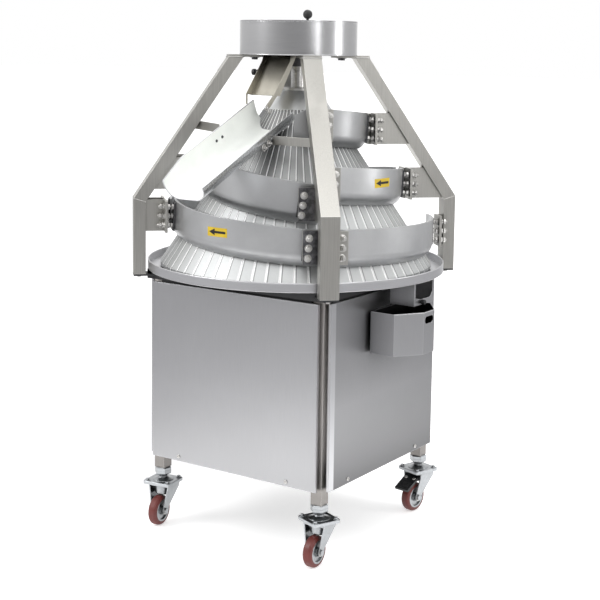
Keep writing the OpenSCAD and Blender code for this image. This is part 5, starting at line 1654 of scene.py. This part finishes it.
class ROUNDER_OT_stage(bpy.types.Operator):
    """Lay the floor, light the studio and set up the camera"""

    bl_idname = "rounder.stage"
    bl_label = "Stage"

    # The camera as worked out from the photograph: lens in pixels of its 600-pixel frame, then places
    frame_px = 600
    lens_px = 1333.25
    centre_px = (296.4, 203.82)
    azimuth = 34.19
    pitch = 6.85
    roll = 0.77
    distance = 4.480
    eye_z = 1.6273
    # Brightness of the room behind the camera and at its sides, of its left and right sides against the
    # middle, and what the ceiling adds
    room_near = 0.36
    room_side = 0.71
    room_left = 1.1
    room_right = 0.97
    room_top = 0.3
    # Half width of the floor's painted pool of light as a share of the distance from the camera, its glow,
    # and how far its left and right edges fade
    pool_share = 0.23
    glow = 0.5
    fades = ((-1.0, 1.4), (1.0, 1.1))
    floor_half = 60
    # Painted shade: a duller patch of floor beside the left panel, which would reflect too much of the
    # key's light
    shade_patch_at = (-1.35, 0.15, 0)
    shade_patch_r = 1.15
    # Round lamps, aimed at the middle of the machine: place, size, power
    middle = Vector((0, 0, 1.0))
    discs = {
        "key_light": ((-2.6, -3.2, 3.2), 2.2, 72),
        "fill_light": ((3.6, -1.6, 2.6), 2.0, 12),
        "top_light": ((0.2, 0.9, 4.2), 2.2, 36),
    }
    # A softbox in front: place, what it is aimed at, width, height, power
    softbox_at = (0.8, -1.3, 2.75)
    softbox_aim = Vector((0, 0, 1.1))
    softbox_w = 2.4
    softbox_h = 0.9
    softbox_power = 8.5
    # Tall strips at one distance and height: degrees around the axis, width, power
    strips = {"narrow_strip": (-19, 0.22, 3.2), "wide_strip": (26, 0.5, 12)}
    strip_at = 3.0
    strip_z = 1.75
    strip_h = 1.5

    def execute(self, context):
        self.add_camera(context)
        self.add_world(context)
        self.add_floor(context)
        self.add_lamps(context)
        context.scene.view_settings.view_transform = "Standard"
        return {"FINISHED"}

    def add_camera(self, context):
        """The camera that sees the machine as the photograph does."""
        az, pitch, roll = (math.radians(a) for a in (self.azimuth, self.pitch, self.roll))
        ahead = Vector((-math.sin(az) * math.cos(pitch), math.cos(az) * math.cos(pitch), -math.sin(pitch)))
        right = Vector((math.cos(az), math.sin(az), 0))
        up = right.cross(ahead)
        x = right * math.cos(roll) + up * math.sin(roll)
        y = up * math.cos(roll) - right * math.sin(roll)
        lens = bpy.data.cameras.new("studio_camera")
        lens.sensor_width = 36
        lens.lens = lens.sensor_width * self.lens_px / self.frame_px
        lens.shift_x = 0.5 - self.centre_px[0] / self.frame_px
        lens.shift_y = self.centre_px[1] / self.frame_px - 0.5
        lens.clip_end = 100
        made = bpy.data.objects.new("studio_camera", lens)
        context.scene.collection.objects.link(made)
        spot = Vector((math.sin(az) * self.distance, -math.cos(az) * self.distance, self.eye_z))
        made.matrix_world = Matrix.Translation(spot) @ Matrix((x, y, -ahead)).transposed().to_4x4()
        context.scene.camera = made

    def axes(self):
        """Level directions away from the camera and to its right."""
        az = math.radians(self.azimuth)
        return Vector((-math.sin(az), math.cos(az), 0)), Vector((math.cos(az), math.sin(az), 0))

    def add_world(self, context):
        """A room: white behind the object, grey around it, darkest behind the camera, paler overhead."""
        world = bpy.data.worlds.new("studio")
        world.use_nodes = True
        made = NodeMaker(world.node_tree)
        look = made.node("ShaderNodeTexCoord").outputs["Generated"]
        toward, aside = (made.vector("DOT_PRODUCT", look, axis) for axis in self.axes())
        height = made.split(look)[2]
        around = made.ranged(toward, -0.95, -0.3, self.room_near, self.room_side)
        lean = made.ranged(aside, -1.0, 1.0, self.room_left, self.room_right)
        ceiling = made.ranged(height, 0.15, 0.7, 0.0, self.room_top, "SMOOTHSTEP")
        room = made.calc("MULTIPLY", made.calc("ADD", around, ceiling), lean)
        white = made.ranged(toward, 0.86, 0.95)
        level = made.node("ShaderNodeMix", {0: white, 2: room, 3: 1.0}, data_type="FLOAT").outputs[0]
        background = made.tree.nodes["Background"]
        made.fill(background.inputs["Color"], level)
        made.fill(background.inputs["Strength"], 1.0)
        context.scene.world = world

    def add_floor(self, context):
        """A pale floor with a painted pool of light around the object, that falls off to the grey of the
        room, and a patch of painted shade beside the left panel.
        """
        bm = bmesh.new()
        bmesh.ops.create_grid(bm, x_segments=8, y_segments=8, size=self.floor_half)
        mesh = bpy.data.meshes.new("studio_floor")
        bm.to_mesh(mesh)
        bm.free()
        made = bpy.data.objects.new("studio_floor", mesh)
        context.scene.collection.objects.link(made)
        finish = Finish("studio_floor")
        where = finish.place()
        deep, across = (finish.vector("DOT_PRODUCT", where, axis) for axis in self.axes())
        half = finish.calc("MULTIPLY_ADD", deep, self.pool_share, self.distance * self.pool_share)
        outside = finish.ranged(deep, -0.9, -2.4, curve="SMOOTHSTEP")
        for side, fade in self.fades:
            past = finish.calc("SUBTRACT", finish.calc("MULTIPLY", across, side), half)
            outside = finish.calc("MAXIMUM", outside, finish.ranged(past, 0.02, fade, curve="SMOOTHSTEP"))
        # Painted pool of light: the lit colour inside, the room's grey outside
        tone = finish.mix(outside, colours().backdrop, colours().room)
        # Painted shade on the patch beside the left panel
        away = finish.vector("DISTANCE", where, self.shade_patch_at)
        near = finish.ranged(away, self.shade_patch_r, self.shade_patch_r * 0.5, curve="SMOOTHSTEP")
        finish.set(Base_Color=finish.mix(near, tone, colours().room), Roughness=0.9, Specular_IOR_Level=0.0)
        path = finish.node("ShaderNodeLightPath").outputs
        seen = path["Is Camera Ray"]
        for ray in ("Is Glossy Ray", "Is Transmission Ray"):
            seen = finish.calc("MAXIMUM", seen, path[ray])
        inside = finish.calc("SUBTRACT", self.glow, outside, use_clamp=True)
        finish.set(Emission_Color=(1, 1, 1, 1), Emission_Strength=finish.calc("MULTIPLY", seen, inside))
        mesh.materials.append(FINISH["studio_floor"])

    def add_lamps(self, context):
        """A key from the front left, a fill from the right, a top light, a softbox in front, two strips."""
        for name, (spot, size, power) in self.discs.items():
            lamp = self.lamp(name, "DISK", power, size)
            self.hang(context, lamp, spot, self.middle)
        lamp = self.lamp("front_softbox", "RECTANGLE", self.softbox_power, self.softbox_w)
        lamp.size_y = self.softbox_h
        self.hang(context, lamp, self.softbox_at, self.softbox_aim)
        for name, (azimuth, width, power) in self.strips.items():
            lamp = self.lamp(name, "RECTANGLE", power, width)
            lamp.size_y = self.strip_h
            spot = polar(self.strip_at, math.radians(azimuth), self.strip_z)
            self.hang(context, lamp, spot, Vector((0, 0, spot.z)))

    def lamp(self, name, shape, power, size):
        """An area lamp."""
        made = bpy.data.lights.new(name, "AREA")
        made.energy = power
        made.shape = shape
        made.size = size
        return made

    def hang(self, context, lamp, spot, target):
        """Puts a lamp at a spot, aimed at a target."""
        made = bpy.data.objects.new(lamp.name, lamp)
        context.scene.collection.objects.link(made)
        made.matrix_world = facing(spot, Vector(spot) - target)


class ROUNDER_PT_panel(bpy.types.Panel):
    """Sidebar list of the rounder's operators, sizes and colours"""

    bl_idname = "ROUNDER_PT_panel"
    bl_label = "Dough rounder"
    bl_space_type = "VIEW_3D"
    bl_region_type = "UI"
    bl_category = "Rounder"

    def draw(self, context):
        for maker in OPERATORS:
            self.layout.operator(maker.bl_idname)
        for group in (context.scene.rounder_sizes, context.scene.rounder_colours):
            column = self.layout.column(align=True)
            for name in group.__annotations__:
                column.prop(group, name)


OPERATORS = (
    ROUNDER_OT_finishes,
    ROUNDER_OT_cone,
    ROUNDER_OT_cone_cap,
    ROUNDER_OT_studs,
    ROUNDER_OT_screws,
    ROUNDER_OT_casters,
    ROUNDER_OT_chute,
    ROUNDER_OT_hood,
    ROUNDER_OT_stickers,
    ROUNDER_OT_drum,
    ROUNDER_OT_tray,
    ROUNDER_OT_legs,
    ROUNDER_OT_bin,
    ROUNDER_OT_switch,
    ROUNDER_OT_bearing,
    ROUNDER_OT_stage,
)
CLASSES = (RounderSizes, RounderColours, *OPERATORS, ROUNDER_PT_panel)


def register():
    for made in CLASSES:
        bpy.utils.register_class(made)
    bpy.types.Scene.rounder_sizes = PointerProperty(type=RounderSizes)
    bpy.types.Scene.rounder_colours = PointerProperty(type=RounderColours)


def unregister():
    del bpy.types.Scene.rounder_colours
    del bpy.types.Scene.rounder_sizes
    for made in reversed(CLASSES):
        bpy.utils.unregister_class(made)


def main():
    register()
    bpy.ops.rounder.finishes()
    bpy.ops.rounder.cone()
    bpy.ops.rounder.cone_cap()
    bpy.ops.rounder.studs()
    bpy.ops.rounder.screws()
    bpy.ops.rounder.casters()
    bpy.ops.rounder.chute()
    bpy.ops.rounder.hood()
    bpy.ops.rounder.stickers()
    bpy.ops.rounder.drum()
    bpy.ops.rounder.tray()
    bpy.ops.rounder.legs()
    bpy.ops.rounder.bin()
    bpy.ops.rounder.switch()
    bpy.ops.rounder.bearing()
    bpy.ops.rounder.stage()


if __name__ == "__main__":
    main()
